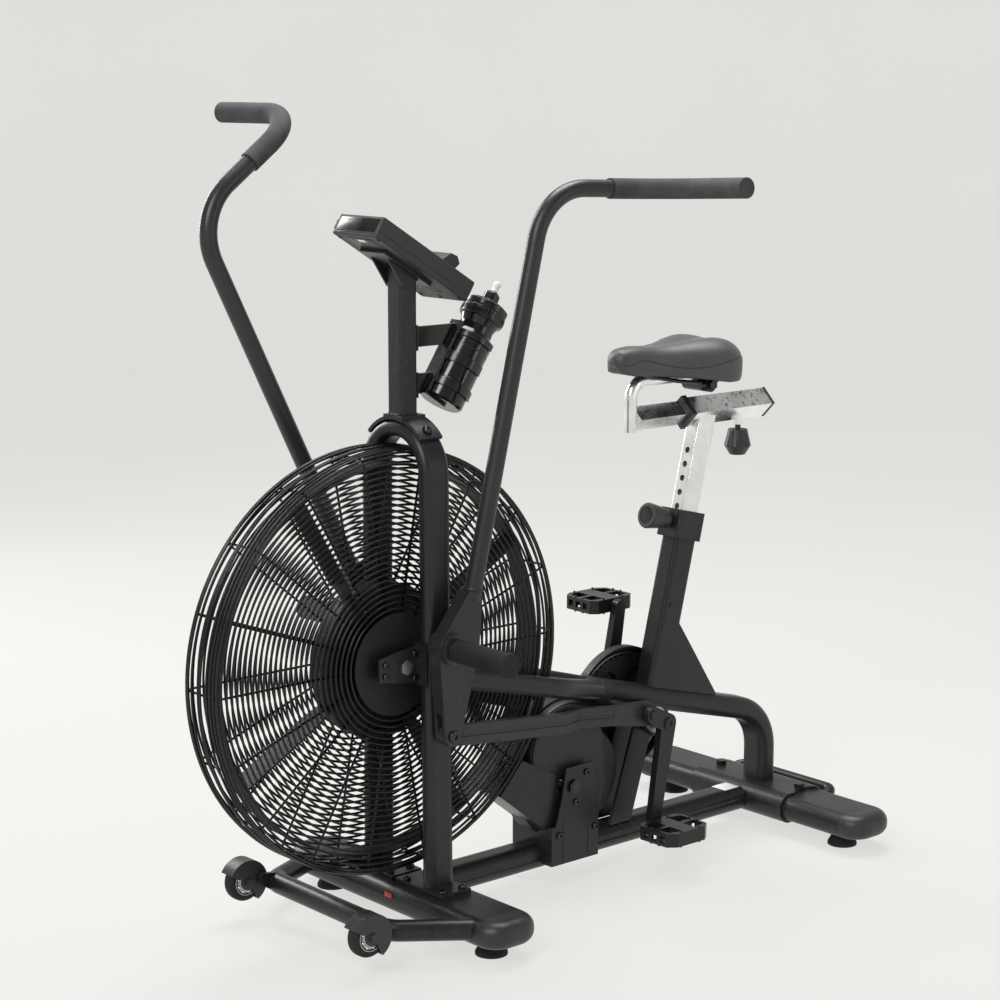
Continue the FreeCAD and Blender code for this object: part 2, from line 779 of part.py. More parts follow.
def seat_prism(width, depth, corner, along0, along1, forward):
    lean = math.radians(SEAT_LEAN)
    back = vec(0, math.cos(lean), -math.sin(lean))
    wire = section(seat_axis(along0, forward), X_AXIS, back, width, depth, corner)
    direction = seat_axis(along1, 0).sub(seat_axis(along0, 0))
    return Part.Face(wire).extrude(direction)


COLLAR_BASE = -46.0
COLLAR_TOP = 0.0
POST_BORE_WIDTH = SEAT_POST_WIDTH + 2 * 0.06
POST_BORE_DEPTH = SEAT_POST_DEPTH + 2 * 0.06
seat_bore = seat_prism(SEAT_TUBE_WIDTH - 6, SEAT_TUBE_DEPTH - 6, 5, -330, COLLAR_BASE, 0)
seat_tube_outer = seat_prism(SEAT_TUBE_WIDTH, SEAT_TUBE_DEPTH, 8, -330, COLLAR_BASE, 0)
gusset_outline = [(628, 424), (640, 422), (692, 344), (746, 262), (746, 232), (615, 262)]
gusset = prism_x(gusset_outline, -SEAT_TUBE_WIDTH / 2, SEAT_TUBE_WIDTH / 2)
seat_tube = fuse([seat_tube_outer, gusset]).cut(seat_bore).cut(upper_outer)
rivet = rod_x(SEAT_TUBE_WIDTH / 2, SEAT_TUBE_WIDTH / 2 + 2, 631, 440, 4)
seat_tube = fuse([seat_tube.cut(shell_space), rivet, mirrored(rivet)])

collar = seat_prism(SEAT_TUBE_WIDTH + 12, SEAT_TUBE_DEPTH + 12, 5, COLLAR_BASE - 4, COLLAR_TOP, 2)
collar = collar.cut(seat_prism(POST_BORE_WIDTH, POST_BORE_DEPTH, 3.9, COLLAR_BASE, COLLAR_TOP + 1, 0))
collar = collar.cut(seat_tube_outer)
LEAN_RADIANS = math.radians(SEAT_LEAN)
FORWARD = vec(0, -math.cos(LEAN_RADIANS), math.sin(LEAN_RADIANS))
knob_root = seat_axis(-20, SEAT_TUBE_DEPTH / 2 + 8)
barrel = Part.makeCylinder(11, 8, knob_root, FORWARD)
pin_path = Part.makeCylinder(5 + RUNNING_FIT, 60, seat_axis(-20, 0), FORWARD)
collar = fuse([collar, barrel]).cut(pin_path)
save("seat_tube", fuse([seat_tube, collar]))

# Height knob: a fluted pull knob whose pin reaches into the seat post.
height_knob = Part.makeCone(17, 23, 48, knob_root.add(FORWARD * 9), FORWARD)
height_knob = height_knob.makeFillet(3.0, [height_knob.Edges[0], height_knob.Edges[2]])
flutes = []
for index in range(10):
    angle = 2 * math.pi * index / 10
    side_dir = X_AXIS * math.cos(angle) + FORWARD.cross(X_AXIS) * math.sin(angle)
    start = knob_root.add(FORWARD * 8).add(side_dir * 20.5)
    end = knob_root.add(FORWARD * 50).add(side_dir * 25.5)
    flutes.append(rod(start, end, 3.2))
height_knob = height_knob.cut(Part.makeCompound(flutes))
dish = knob_root.add(FORWARD * 54)
height_knob = height_knob.cut(Part.makeCylinder(15, 6, dish, FORWARD))
height_pin = Part.makeCylinder(5, 36, seat_axis(-20, SEAT_POST_DEPTH / 2 + 0.3), FORWARD)
save("height_knob", fuse([height_knob, height_pin]))

# Seat post with a line of height holes, and the four-sided slide tube on top of it.
POST_BOTTOM = -180.0
post_holes = []
for index in range(12):
    hole = Part.makeCylinder(5.4, 30, seat_axis(-20 - 25 * 6 + 25 * index, 4), FORWARD)
    post_holes.append(hole)


def diamond(y0, y1, half):
    outline = [(half, y0, SLIDE_Z), (0, y0, SLIDE_Z + half), (-half, y0, SLIDE_Z), (0, y0, SLIDE_Z - half)]
    return prism(outline, vec(0, y1 - y0, 0))


slide_outer = diamond(SLIDE_FRONT, SLIDE_REAR, SLIDE_HALF_DIAGONAL)
seat_post = seat_prism(SEAT_POST_WIDTH, SEAT_POST_DEPTH, 4, POST_BOTTOM, 190, 0)
seat_post = seat_post.cut(seat_prism(SEAT_POST_WIDTH - 5, SEAT_POST_DEPTH - 5, 3, POST_BOTTOM - 1, 191, 0))
seat_post = seat_post.cut(Part.makeCompound(post_holes))
post_trim = prism([(-60, 600, SLIDE_Z), (60, 600, SLIDE_Z), (60, 600, 900), (-60, 600, 900)], vec(0, 300, 0))
seat_post = seat_post.cut(post_trim).cut(slide_outer)

slide_bore = diamond(SLIDE_FRONT - 1, SLIDE_REAR - 4, SLIDE_INNER_DIAGONAL + 0.08)
slide_sleeve = slide_outer.cut(slide_bore)
KNOB_Y = 812.0
clamp_nut = rod_z(0, KNOB_Y, SLIDE_Z - 34, SLIDE_Z - 12, 8).cut(slide_bore)
clamp_bore = rod_z(0, KNOB_Y, SLIDE_Z - 60, SLIDE_Z - 16, 5 + RUNNING_FIT)
slide_sleeve = fuse([slide_sleeve, clamp_nut]).cut(clamp_bore)
save("seat_post", fuse([seat_post, slide_sleeve]))

mouth = diamond(SLIDE_FRONT - 12, SLIDE_FRONT, SLIDE_HALF_DIAGONAL + 4)
mouth = mouth.cut(diamond(SLIDE_FRONT - 13, SLIDE_FRONT + 1, SLIDE_INNER_DIAGONAL + 0.1))
rear_plug = diamond(SLIDE_REAR, SLIDE_REAR + 5, SLIDE_HALF_DIAGONAL + 1)
rear_lug = box(-7, 7, SLIDE_REAR + 5, SLIDE_REAR + 13, SLIDE_Z - 9, SLIDE_Z + 9)
save("slide_caps", group([mouth, fuse([rear_plug, rear_lug])]))

slide_knob = cone_z(0, KNOB_Y, SLIDE_Z - 72, SLIDE_Z - 43, 24, 17)
slide_knob = fuse([slide_knob, cone_z(0, KNOB_Y, SLIDE_Z - 88, SLIDE_Z - 72, 14, 24)])
flutes = []
for index in range(8):
    angle = 2 * math.pi * index / 8
    start = vec(26.5 * math.cos(angle), KNOB_Y + 26.5 * math.sin(angle), SLIDE_Z - 78)
    end = vec(19.5 * math.cos(angle), KNOB_Y + 19.5 * math.sin(angle), SLIDE_Z - 40)
    flutes.append(rod(start, end, 3.2))
slide_knob = slide_knob.cut(Part.makeCompound(flutes))
slide_screw = rod_z(0, KNOB_Y, SLIDE_Z - 46, SLIDE_Z - 22, 5)
save("slide_knob", fuse([slide_knob, slide_screw]))

# Sliding seat carrier: inner tube with an L-shaped bar welded to its front end.
inner_tube = diamond(SEAT_BAR_Y + 6, 806, SLIDE_INNER_DIAGONAL)
inner_tube = inner_tube.cut(diamond(SEAT_BAR_Y + 10, 807, SLIDE_INNER_DIAGONAL - 4))
seat_bar = pipe(
    [(0, SEAT_BAR_Y, 752), (0, SEAT_BAR_Y, SEAT_BAR_Z), (0, 736, SEAT_BAR_Z)],
    [30],
    SEAT_BAR_RADIUS,
)
save("seat_carrier", fuse([inner_tube, seat_bar]))

# Saddle clamp, rails, base and cushion.
CLAMP_Y = 712.0
clamp_body = fuse(
    [
        rod(vec(0, CLAMP_Y - 17, SEAT_BAR_Z), vec(0, CLAMP_Y + 17, SEAT_BAR_Z), 14.5),
        rod_x(-30, 30, CLAMP_Y, SEAT_BAR_Z - 16, 13),
    ]
)
clamp_body = clamp_body.cut(rod(vec(0, 600, SEAT_BAR_Z), vec(0, 760, SEAT_BAR_Z), SEAT_BAR_RADIUS))
clamp_nuts = [
    hex_prism(vec(30, CLAMP_Y, SEAT_BAR_Z - 16), X_AXIS, 15, 7),
    hex_prism(vec(-37, CLAMP_Y, SEAT_BAR_Z - 16), X_AXIS, 15, 7),
]
rails = []
for side in (-1, 1):
    rails.append(
        pipe(
            [
                (side * 13, 566, 848),
                (side * 22, 636, 834),
                (side * 22, 724, 822),
                (side * 30, 746, 838),
            ],
            [30, 12],
            3.5,
        )
    )
save("saddle_clamp", fuse([clamp_body] + clamp_nuts + rails))

# Saddle outline stations from nose to tail: distance back, half width, top, underside.
SADDLE_STATIONS = (
    (501.0, 15.0, 889.0, 864.0),
    (514.0, 25.0, 897.0, 853.0),
    (546.0, 33.0, 901.0, 848.0),
    (590.0, 40.0, 899.0, 845.0),
    (630.0, 55.0, 902.0, 841.0),
    (670.0, 75.0, 908.0, 836.0),
    (705.0, 87.0, 911.0, 830.0),
    (737.0, 81.0, 905.0, 828.0),
    (757.0, 58.0, 893.0, 835.0),
)


def saddle_section(y, half, top, bottom, grow):
    """Closed rounded curve across the saddle, fuller at the flanks than an ellipse."""
    middle = bottom + (top - bottom) * 0.42
    points = []
    for index in range(20):
        angle = 2 * math.pi * index / 20
        cosine = math.cos(angle)
        sine = math.sin(angle)
        x = (half + grow) * math.copysign(abs(cosine) ** 0.72, cosine)
        span = (top - middle + grow) if sine > 0 else (middle - bottom + grow)
        points.append(vec(x, y, middle + span * math.copysign(abs(sine) ** 0.8, sine)))
    curve = Part.BSplineCurve()
    curve.interpolate(points, True)
    return Part.Wire([curve.toShape()])


def saddle_loft(grow):
    wires = []
    for y, half, top, bottom in SADDLE_STATIONS:
        wires.append(saddle_section(y, half, top, bottom, grow))
    return Part.makeLoft(wires, True, False)


cushion_full = saddle_loft(0)
pan_outline = [(495, 876), (560, 868), (640, 862), (700, 855), (795, 850)]
lower_zone = pan_outline + [(795, 780), (495, 780)]
upper_zone = [(y, z + PART_GAP) for y, z in pan_outline] + [(795, 960), (495, 960)]
cushion = cushion_full.common(prism_x(upper_zone, -130, 130))
save("saddle_cushion", cushion)
pan = cushion_full.common(prism_x(lower_zone, -130, 130))
front_recess = [(533, 857), (640, 856), (640, 780), (533, 780)]
rear_recess = [(600, 856), (800, 854.5), (800, 780), (600, 780)]
pan = pan.cut(prism_x(front_recess, -19, 19)).cut(prism_x(rear_recess, -40, 40))
save("saddle_pan", pan)

# ---------------------------------------------------------------- drive housing

# Bottom bracket shell with the strut plates down to the main beam.
bb_shell = ring_x(BB_RIGHT, BB_LEFT, CRANK_Y, CRANK_Z, BB_RADIUS, SPINDLE_RADIUS + RUNNING_FIT)
cup = ring_x(BB_LEFT, BB_LEFT + 7, CRANK_Y, CRANK_Z, 29, SPINDLE_RADIUS + RUNNING_FIT)
struts = []
for side in (-1, 1):
    strut = prism_x([(541, 240), (586, 236), (534, 71), (484, 71)], side * 21 - 3, side * 21 + 3)
    struts.append(strut.cut(main_beam_outer).cut(rod_x(-40, 60, CRANK_Y, CRANK_Z, BB_RADIUS - 1)))
bb = fuse([bb_shell, cup] + struts)
save("bottom_bracket", bb)

# Pedestal over the main beam that carries the jackshaft bearings.
PEDESTAL_FRONT = 325.0
PEDESTAL_REAR = 432.0
PEDESTAL_TOP = 106.0
pedestal = box(-50, 50, PEDESTAL_FRONT, PEDESTAL_REAR, 38, PEDESTAL_TOP)
pedestal = pedestal.cut(box(-46.5, 46.5, PEDESTAL_FRONT + 3, PEDESTAL_REAR - 3, 30, PEDESTAL_TOP - 3))
beam_slot = section(vec(0, 300, BEAM_Z), X_AXIS, Z_AXIS, BEAM_WIDTH + 0.2, BEAM_HEIGHT + 0.2, 18)
beam_slot = Part.Face(beam_slot).extrude(vec(0, 160, 0))
near_plate = prism_x([(333, 100), (348, 150), (358, 204), (418, 206), (432, 150), (432, 100)], 46, 50)
far_plate = prism_x([(345, 100), (350, 150), (358, 204), (392, 204), (400, 150), (405, 100)], -30.4, -26.4)
bearing = ring_x(40, 46, JACK_Y, JACK_Z, 17, 8 + RUNNING_FIT)
pedestal = fuse([pedestal, near_plate, far_plate, bearing]).cut(beam_slot)
pedestal = pedestal.cut(rod_x(-40, 60, JACK_Y, JACK_Z, 8 + RUNNING_FIT))
ribs = []
for rib_y in (352, 410):
    ribs.append(rod(vec(49.5, rib_y, 40), vec(49.5, rib_y, 110), 2.5))
pedestal = fuse([pedestal] + ribs)
save("drive_pedestal", pedestal)


def drive_shell(lower, upper, rear, x0, x1, wall):
    circles = [lower, upper]
    outer = hull_x(circles, x0, x1)
    if rear:
        outer = fuse([outer, capsule_x(lower, rear, x0, x1)])
    inner = hull_x([(y, z, r - wall) for y, z, r in circles], x0 - 1, x1 - wall)
    if rear:
        hollow_ends = [(y, z, r - wall) for y, z, r in (lower, rear)]
        inner = fuse([inner, capsule_x(*hollow_ends, x0 - 1, x1 - wall)])
    return outer, inner


base_space = box(-51, 51, PEDESTAL_FRONT - 0.3, PEDESTAL_REAR + 0.3, 20, PEDESTAL_TOP + 0.3)
beam_space = box(-60, 60, 200, 600, 0, 74)
shaft_space = rod_x(-80, 80, JACK_Y, JACK_Z, 20)
front_circles = ((JACK_Y + 4, 166, 88), (JACK_Y + 4, 228, 84))
near_outer, near_inner = drive_shell(front_circles[0], front_circles[1], None, 14, 34, 2.5)
rim_edges = [edge for edge in near_outer.Edges if edge.BoundBox.XMin > 33.9]
near_outer = near_outer.makeFillet(10.0, rim_edges)
near_cover = near_outer.cut(near_inner)
back_circles = ((JACK_Y + 4, 166, 92), (JACK_Y + 4, 228, 88), (424, 170, 84))
back_outer, back_inner = drive_shell(back_circles[0], back_circles[1], back_circles[2], -24, 13.7, 2.5)
back_cover = back_outer.cut(back_inner)
covers = []
for cover in (near_cover, back_cover):
    covers.append(cover.cut(base_space).cut(beam_space).cut(shaft_space))
save("drive_cover", group(covers))

# Front guard: a slanted sheet box between the drive covers and the fan cage.
GUARD_FRONT_TOP = (271, 232)
GUARD_FRONT_LOW = (222, 179)
GUARD_REAR_LOW = (344, 84)
GUARD_REAR_TOP = (396, 168)
guard_outline = [GUARD_FRONT_TOP, GUARD_FRONT_LOW, GUARD_REAR_LOW, GUARD_REAR_TOP]
guard_inner = [(269, 226), (227, 180), (352, 82), (400, 160)]
guard = prism_x(guard_outline, -26, 37).cut(prism_x(guard_inner, -24, 35.2))
cover_space = hull_x(list(back_circles), -28, 34.5)
guard = guard.cut(cover_space).cut(base_space).cut(beam_space).cut(shaft_space)
guard = guard.cut(box(30, 60, 352, 440, 60, 240))
save("front_guard", group([guard]))

# Far-side chain cover: a tray with its rim turned towards the bike.
COVER_CRANK = (CRANK_Y, CRANK_Z, 114)
COVER_JACK = (JACK_Y, JACK_Z, 44)
tray = capsule_x(COVER_CRANK, COVER_JACK, -47.5, -31)
tray = tray.cut(capsule_x((CRANK_Y, CRANK_Z, 111.5), (JACK_Y, JACK_Z, 41.5), -46, -20))
tray = tray.cut(rod_x(-60, 0, CRANK_Y, CRANK_Z, 14)).cut(rod_x(-60, 0, JACK_Y, JACK_Z, 14))
tray = tray.cut(main_beam_outer).cut(beam_space)
seat_space = seat_prism(SEAT_TUBE_WIDTH + 1, SEAT_TUBE_DEPTH + 1, 8, -330, 0, 0)
tray = tray.cut(seat_space).cut(box(-30, 30, 440, 700, 200, 400))
save("chain_cover", tray)

# ---------------------------------------------------------------- chains and sprockets

CRANK_PITCH = pitch_radius(CRANK_TEETH)
JACK_SMALL_PITCH = pitch_radius(JACK_SMALL_TEETH)
JACK_LARGE_PITCH = pitch_radius(JACK_LARGE_TEETH)
FAN_PITCH = pitch_radius(FAN_TEETH)
CHAIN_LIFT = TOOTH_ABOVE_PITCH + 0.6


def chain_loop(first, second, x):
    inner = capsule_x(
        (first[0], first[1], first[2] + CHAIN_LIFT),
        (second[0], second[1], second[2] + CHAIN_LIFT),
        x - CHAIN_HALF - 1,
        x + CHAIN_HALF + 1,
    )
    outer = capsule_x(
        (first[0], first[1], first[2] + CHAIN_LIFT + CHAIN_DEPTH),
        (second[0], second[1], second[2] + CHAIN_LIFT + CHAIN_DEPTH),
        x - CHAIN_HALF,
        x + CHAIN_HALF,
    )
    return outer.cut(inner)


crank_chain = chain_loop((CRANK_Y, CRANK_Z, CRANK_PITCH), (JACK_Y, JACK_Z, JACK_SMALL_PITCH), CRANK_CHAIN_X)
fan_chain = chain_loop((JACK_Y, JACK_Z, JACK_LARGE_PITCH), (0, FAN_Z, FAN_PITCH), FAN_CHAIN_X)
save("drive_chains", group([crank_chain, fan_chain]))


def sprocket(teeth, y, z, x, windows, bore):
    pitch = pitch_radius(teeth)
    outline = teeth_outline(teeth, pitch, y, z, TOOTH_ABOVE_PITCH)
    wheel_shape = prism_x(outline, x - 1.6, x + 1.6)
    if windows:
        holes = []
        for index in range(windows):
            angle = 2 * math.pi * index / windows
            centre_y = y + pitch * 0.62 * math.cos(angle)
            centre_z = z + pitch * 0.62 * math.sin(angle)
            holes.append(rod_x(x - 3, x + 3, centre_y, centre_z, pitch * 0.2))
        wheel_shape = wheel_shape.cut(Part.makeCompound(holes))
    return wheel_shape.cut(rod_x(x - 3, x + 3, y, z, bore))


chainring = sprocket(CRANK_TEETH, CRANK_Y, CRANK_Z, CRANK_CHAIN_X, 6, SPINDLE_RADIUS)
boss = ring_x(CRANK_CHAIN_X - 1.6, BB_RIGHT - 1, CRANK_Y, CRANK_Z, 20, SPINDLE_RADIUS)
save("chainring", fuse([chainring, boss]))

jack_shaft = rod_x(FAN_CHAIN_X - 3, 56, JACK_Y, JACK_Z, 8)
small = sprocket(JACK_SMALL_TEETH, JACK_Y, JACK_Z, CRANK_CHAIN_X, 0, 7)
large = sprocket(JACK_LARGE_TEETH, JACK_Y, JACK_Z, FAN_CHAIN_X, 5, 7)
jack_nut = hex_prism(vec(50.4, JACK_Y, JACK_Z), X_AXIS, 22, 5)
save("jackshaft", fuse([jack_shaft, small, large, jack_nut]))

# ---------------------------------------------------------------- crank and pedals

crank_drop = math.radians(CRANK_ANGLE)
PEDAL_Y = CRANK_Y - CRANK_LENGTH * math.sin(crank_drop)
PEDAL_Z = CRANK_Z - CRANK_LENGTH * math.cos(crank_drop)


def crank_arm():
    arm = capsule_x((CRANK_Y, CRANK_Z, 17), (PEDAL_Y, PEDAL_Z, 11), CRANK_INNER_X, CRANK_OUTER_X)
    lobe = capsule_x(
        (CRANK_Y, CRANK_Z, 17),
        (CRANK_Y - PIN_FORWARD, CRANK_Z + PIN_UP, 15),
        CRANK_INNER_X,
        CRANK_OUTER_X,
    )
    stub = rod_x(CRANK_INNER_X - 1.5, CRANK_INNER_X, CRANK_Y - PIN_FORWARD, CRANK_Z + PIN_UP, 8)
    cap = rod_x(CRANK_OUTER_X, CRANK_OUTER_X + 3, CRANK_Y - PIN_FORWARD, CRANK_Z + PIN_UP, 9)
    bolt = rod_x(CRANK_OUTER_X, CRANK_OUTER_X + 3, CRANK_Y, CRANK_Z, 11)
    socket = rod_x(CRANK_OUTER_X + 1, CRANK_OUTER_X + 4, CRANK_Y, CRANK_Z, 5)
    pin = rod_x(CRANK_OUTER_X - 1, PEDAL_OUTER_X - 5, PEDAL_Y, PEDAL_Z, PEDAL_SPINDLE_RADIUS)
    shoulder = rod_x(CRANK_OUTER_X, PEDAL_INNER_X - 0.6, PEDAL_Y, PEDAL_Z, 10)
    return fuse([arm, lobe, stub, cap, bolt, pin, shoulder]).cut(socket)


arm_left = crank_arm()
arm_right = turned_x(mirrored(arm_left), 180, CRANK_Y, CRANK_Z)
spindle = rod_x(-CRANK_INNER_X, CRANK_INNER_X, CRANK_Y, CRANK_Z, SPINDLE_RADIUS)
save("crankset", fuse([arm_left, arm_right, spindle]))


def pedal():
    """Open cage pedal drawn round the spindle line at the origin."""
    half_l = PEDAL_HALF_LENGTH
    half_h = PEDAL_HALF_HEIGHT
    outline = [
        (PEDAL_INNER_X, -half_l + 12),
        (PEDAL_INNER_X + 10, -half_l),
        (PEDAL_OUTER_X - 12, -half_l + 2),
        (PEDAL_OUTER_X, -half_l + 18),
        (PEDAL_OUTER_X, half_l - 18),
        (PEDAL_OUTER_X - 12, half_l - 2),
        (PEDAL_INNER_X + 10, half_l),
        (PEDAL_INNER_X, half_l - 12),
    ]
    plate = prism([(x, y, -half_h) for x, y in outline], vec(0, 0, 2 * half_h))
    middle_x = (PEDAL_INNER_X + PEDAL_OUTER_X) / 2
    windows = []
    for side in (-1, 1):
        near = [(PEDAL_INNER_X + 7, side * 16), (PEDAL_INNER_X + 14, side * (half_l - 7))]
        far = [(middle_x - 4, side * (half_l - 7)), (middle_x - 4, side * 16)]
        windows.append(prism([(x, y, -20) for x, y in near + far], vec(0, 0, 40)))
        near = [(middle_x + 4, side * 16), (middle_x + 4, side * (half_l - 7))]
        far = [(PEDAL_OUTER_X - 14, side * (half_l - 9)), (PEDAL_OUTER_X - 7, side * 16)]
        windows.append(prism([(x, y, -20) for x, y in near + far], vec(0, 0, 40)))
    plate = plate.cut(Part.makeCompound(windows))
    side_slots = []
    for slot_x in (middle_x - 19, middle_x, middle_x + 19):
        side_slots.append(box(slot_x - 6, slot_x + 6, -60, 60, -6, 6))
    barrel_shape = rod_x(PEDAL_INNER_X, PEDAL_OUTER_X, 0, 0, 12)
    plate = fuse([plate.cut(Part.makeCompound(side_slots)), barrel_shape])
    plate = plate.cut(rod_x(PEDAL_INNER_X - 1, PEDAL_OUTER_X - 3, 0, 0, PEDAL_SPINDLE_RADIUS + RUNNING_FIT))
    pins = []
    for side in (-1, 1):
        for pin_x in (middle_x - 9.5, middle_x + 9.5):
            pins.append(rod_z(pin_x, side * (half_l - 4), -half_h - 2.5, half_h + 2.5, 1.8))
        for pin_x in (PEDAL_INNER_X + 3.5, PEDAL_OUTER_X - 3.5):
            pins.append(rod_z(pin_x, side * 22, -half_h - 2.5, half_h + 2.5, 1.8))
    return fuse([plate] + pins)


pedal_shape = pedal()
pedal_left = pedal_shape.copy()
pedal_left.translate(vec(0, PEDAL_Y, PEDAL_Z))
pedal_right = mirrored(pedal_shape)
pedal_right.translate(vec(0, 2 * CRANK_Y - PEDAL_Y, 2 * CRANK_Z - PEDAL_Z))
save("pedal_left", pedal_left)
save("pedal_right", pedal_right)

# ---------------------------------------------------------------- fan and cage


def wire_ring(x, radius):
    """Ring of faceted wire about the fan axle."""
    corners = []
    for index in range(WIRE_SIDES + 1):
        angle = 2 * math.pi * (index % WIRE_SIDES) / WIRE_SIDES
        side_x = x + WIRE_RADIUS * math.sin(angle)
        corners.append(vec(side_x, 0, radius + WIRE_RADIUS * math.cos(angle)))
    ring = Part.Face(Part.makePolygon(corners)).revolve(ORIGIN, X_AXIS, 360)
    ring.translate(vec(0, 0, FAN_Z))
    return ring


def cage_spoke(angle):
    """Wire from the hub disc out along the face and round onto the rim, inside the rings."""
    inset = 2 * WIRE_RADIUS + 0.1
    face = CAGE_FACE_X - inset
    edge = CAGE_RADIUS - inset
    spoke = pipe(
        [(face, 0, CAGE_HUB_RADIUS - 6), (face, 0, edge), (0.3, 0, edge)],
        [CAGE_CORNER - inset],
        WIRE_RADIUS,
    )
    spoke.translate(vec(0, 0, FAN_Z))
    return turned_x(spoke, angle, 0, FAN_Z)


def cage_half():
    rings = []
    radius = CAGE_FIRST_RING
    while radius < CAGE_RADIUS - CAGE_CORNER:
        rings.append(wire_ring(CAGE_FACE_X, radius))
        radius += CAGE_PITCH
    corner_r = CAGE_RADIUS - CAGE_CORNER
    corner_x = CAGE_FACE_X - CAGE_CORNER
    for angle in (math.pi / 6, math.pi / 3):
        ring_r = corner_r + CAGE_CORNER * math.sin(angle)
        rings.append(wire_ring(corner_x + CAGE_CORNER * math.cos(angle), ring_r))
    for step in range(4):
        rings.append(wire_ring(CAGE_MIDDLE_X + (corner_x - CAGE_MIDDLE_X) * step / 3, CAGE_RADIUS))
    for index in range(CAGE_SPOKES):
        rings.append(cage_spoke(360.0 * (index + 0.5) / CAGE_SPOKES))
    return rings


half = cage_half()
save("cage_left", group(half))
save("cage_right", group([mirrored(wire) for wire in half]))

hub_plate = ring_x(CAGE_FACE_X - WIRE_RADIUS, CAGE_FACE_X + 1.5, 0, FAN_Z, CAGE_HUB_RADIUS, 14)
save("cage_hubs", group([hub_plate, mirrored(hub_plate)]))

blades = []
blade_outline = [
    (-13, 0, 100),
    (13, 0, 100),
    (BLADE_HALF_WIDTH, 0, 156),
    (BLADE_HALF_WIDTH, 0, FAN_TIP_RADIUS),
    (-BLADE_HALF_WIDTH, 0, FAN_TIP_RADIUS),
    (-BLADE_HALF_WIDTH, 0, 156),
]
for angle in BLADE_ANGLES:
    sheet = prism(blade_outline, vec(0, 3, 0))
    fold = prism([(-20, 0, 160), (20, 0, 160), (0, -14, 160)], vec(0, 0, 148))
    fold = fold.cut(prism([(-17.5, 0.1, 159), (17.5, 0.1, 159), (0, -11.5, 159)], vec(0, 0, 150)))
    blade = fuse([sheet, fold])
    blade.translate(vec(0, -1.5, FAN_Z))
    blades.append(turned_x(blade, angle, 0, FAN_Z))
fan_hub = rod_x(-12, 12, 0, FAN_Z, FAN_HUB_RADIUS)
fan_hub = fan_hub.cut(ring_x(4, 13, 0, FAN_Z, 112, 38)).cut(ring_x(-13, -4, 0, FAN_Z, 112, 38))
hoop = ring_x(-20, 20, 0, FAN_Z, FAN_TIP_RADIUS + 3, FAN_TIP_RADIUS)
fan = fuse([fan_hub, hoop] + blades).cut(rod_x(-80, 80, 0, FAN_Z, AXLE_RADIUS))
save("fan_rotor", fan)

axle = rod_x(-74, 74, 0, FAN_Z, AXLE_RADIUS)
fan_sprocket = sprocket(FAN_TEETH, 0, FAN_Z, FAN_CHAIN_X, 0, 6)
axle_nuts = []
for side in (-1, 1):
    nut_at = 66.4 if side > 0 else -73.4
    axle_nuts.append(hex_prism(vec(nut_at, 0, FAN_Z), X_AXIS, 22, 7))
save("fan_axle", fuse([axle, fan_sprocket] + axle_nuts))

plate_outline = [(-50, 426), (-50, 462), (-20, 468), (30, 474), (30, 414), (-20, 420)]
axle_plate = prism_x(plate_outline, 61, 66)
axle_plate = axle_plate.cut(rod_x(50, 80, 0, FAN_Z, AXLE_RADIUS + RUNNING_FIT))
flange = box(57, 86, 26, LEG_Y - LEG_DEPTH / 2, 410, 478)
axle_plate = fuse([axle_plate, flange]).cut(fork_outer)
save("axle_brackets", group([axle_plate, mirrored(axle_plate)]))

# ---------------------------------------------------------------- foot pegs

peg_shafts = []
peg_sleeves = []
for side in (-1, 1):
    shaft = rod_x(85, PEG_END_X - 2, PEG_Y, PEG_Z, PEG_SHAFT_RADIUS).cut(fork_outer)
    inner_washer = rod_x(85, 92 - PART_GAP, PEG_Y, PEG_Z, 17).cut(fork_outer)
    outer_collar = rod_x(134 + PART_GAP, 139, PEG_Y, PEG_Z, 17)
    tube = rod_x(139, PEG_END_X - 2, PEG_Y, PEG_Z, 14.5)
    peg = fuse([shaft, inner_washer, outer_collar, tube])
    sleeve_shape = ring_x(141, PEG_END_X, PEG_Y, PEG_Z, 18.5, 14.5)
    lip = ring_x(PEG_END_X - 6, PEG_END_X, PEG_Y, PEG_Z, 19.5, 14.5)
    cap = rod_x(PEG_END_X - 2, PEG_END_X, PEG_Y, PEG_Z, 15)
    sleeve_shape = fuse([sleeve_shape, lip, cap])
    if side < 0:
        peg = mirrored(peg)
        sleeve_shape = mirrored(sleeve_shape)
    peg_shafts.append(peg)
    peg_sleeves.append(sleeve_shape)
save("foot_pegs", group(peg_shafts))
save("foot_peg_sleeves", group(peg_sleeves))

# ---------------------------------------------------------------- handle arms and link bars


def arm_tube(radius, share):
    """Arm tube from below the knee to the tip; share drops that much of the knee run."""
    start = vec(*ARM_KNEE) * (1 - share) + vec(*ARM_ELBOW) * share
    if share:
        return pipe([tuple(start), ARM_ELBOW, ARM_TIP], [75], radius)
    return pipe([ARM_START, ARM_KNEE, ARM_ELBOW, ARM_TIP], [95, 75], radius)


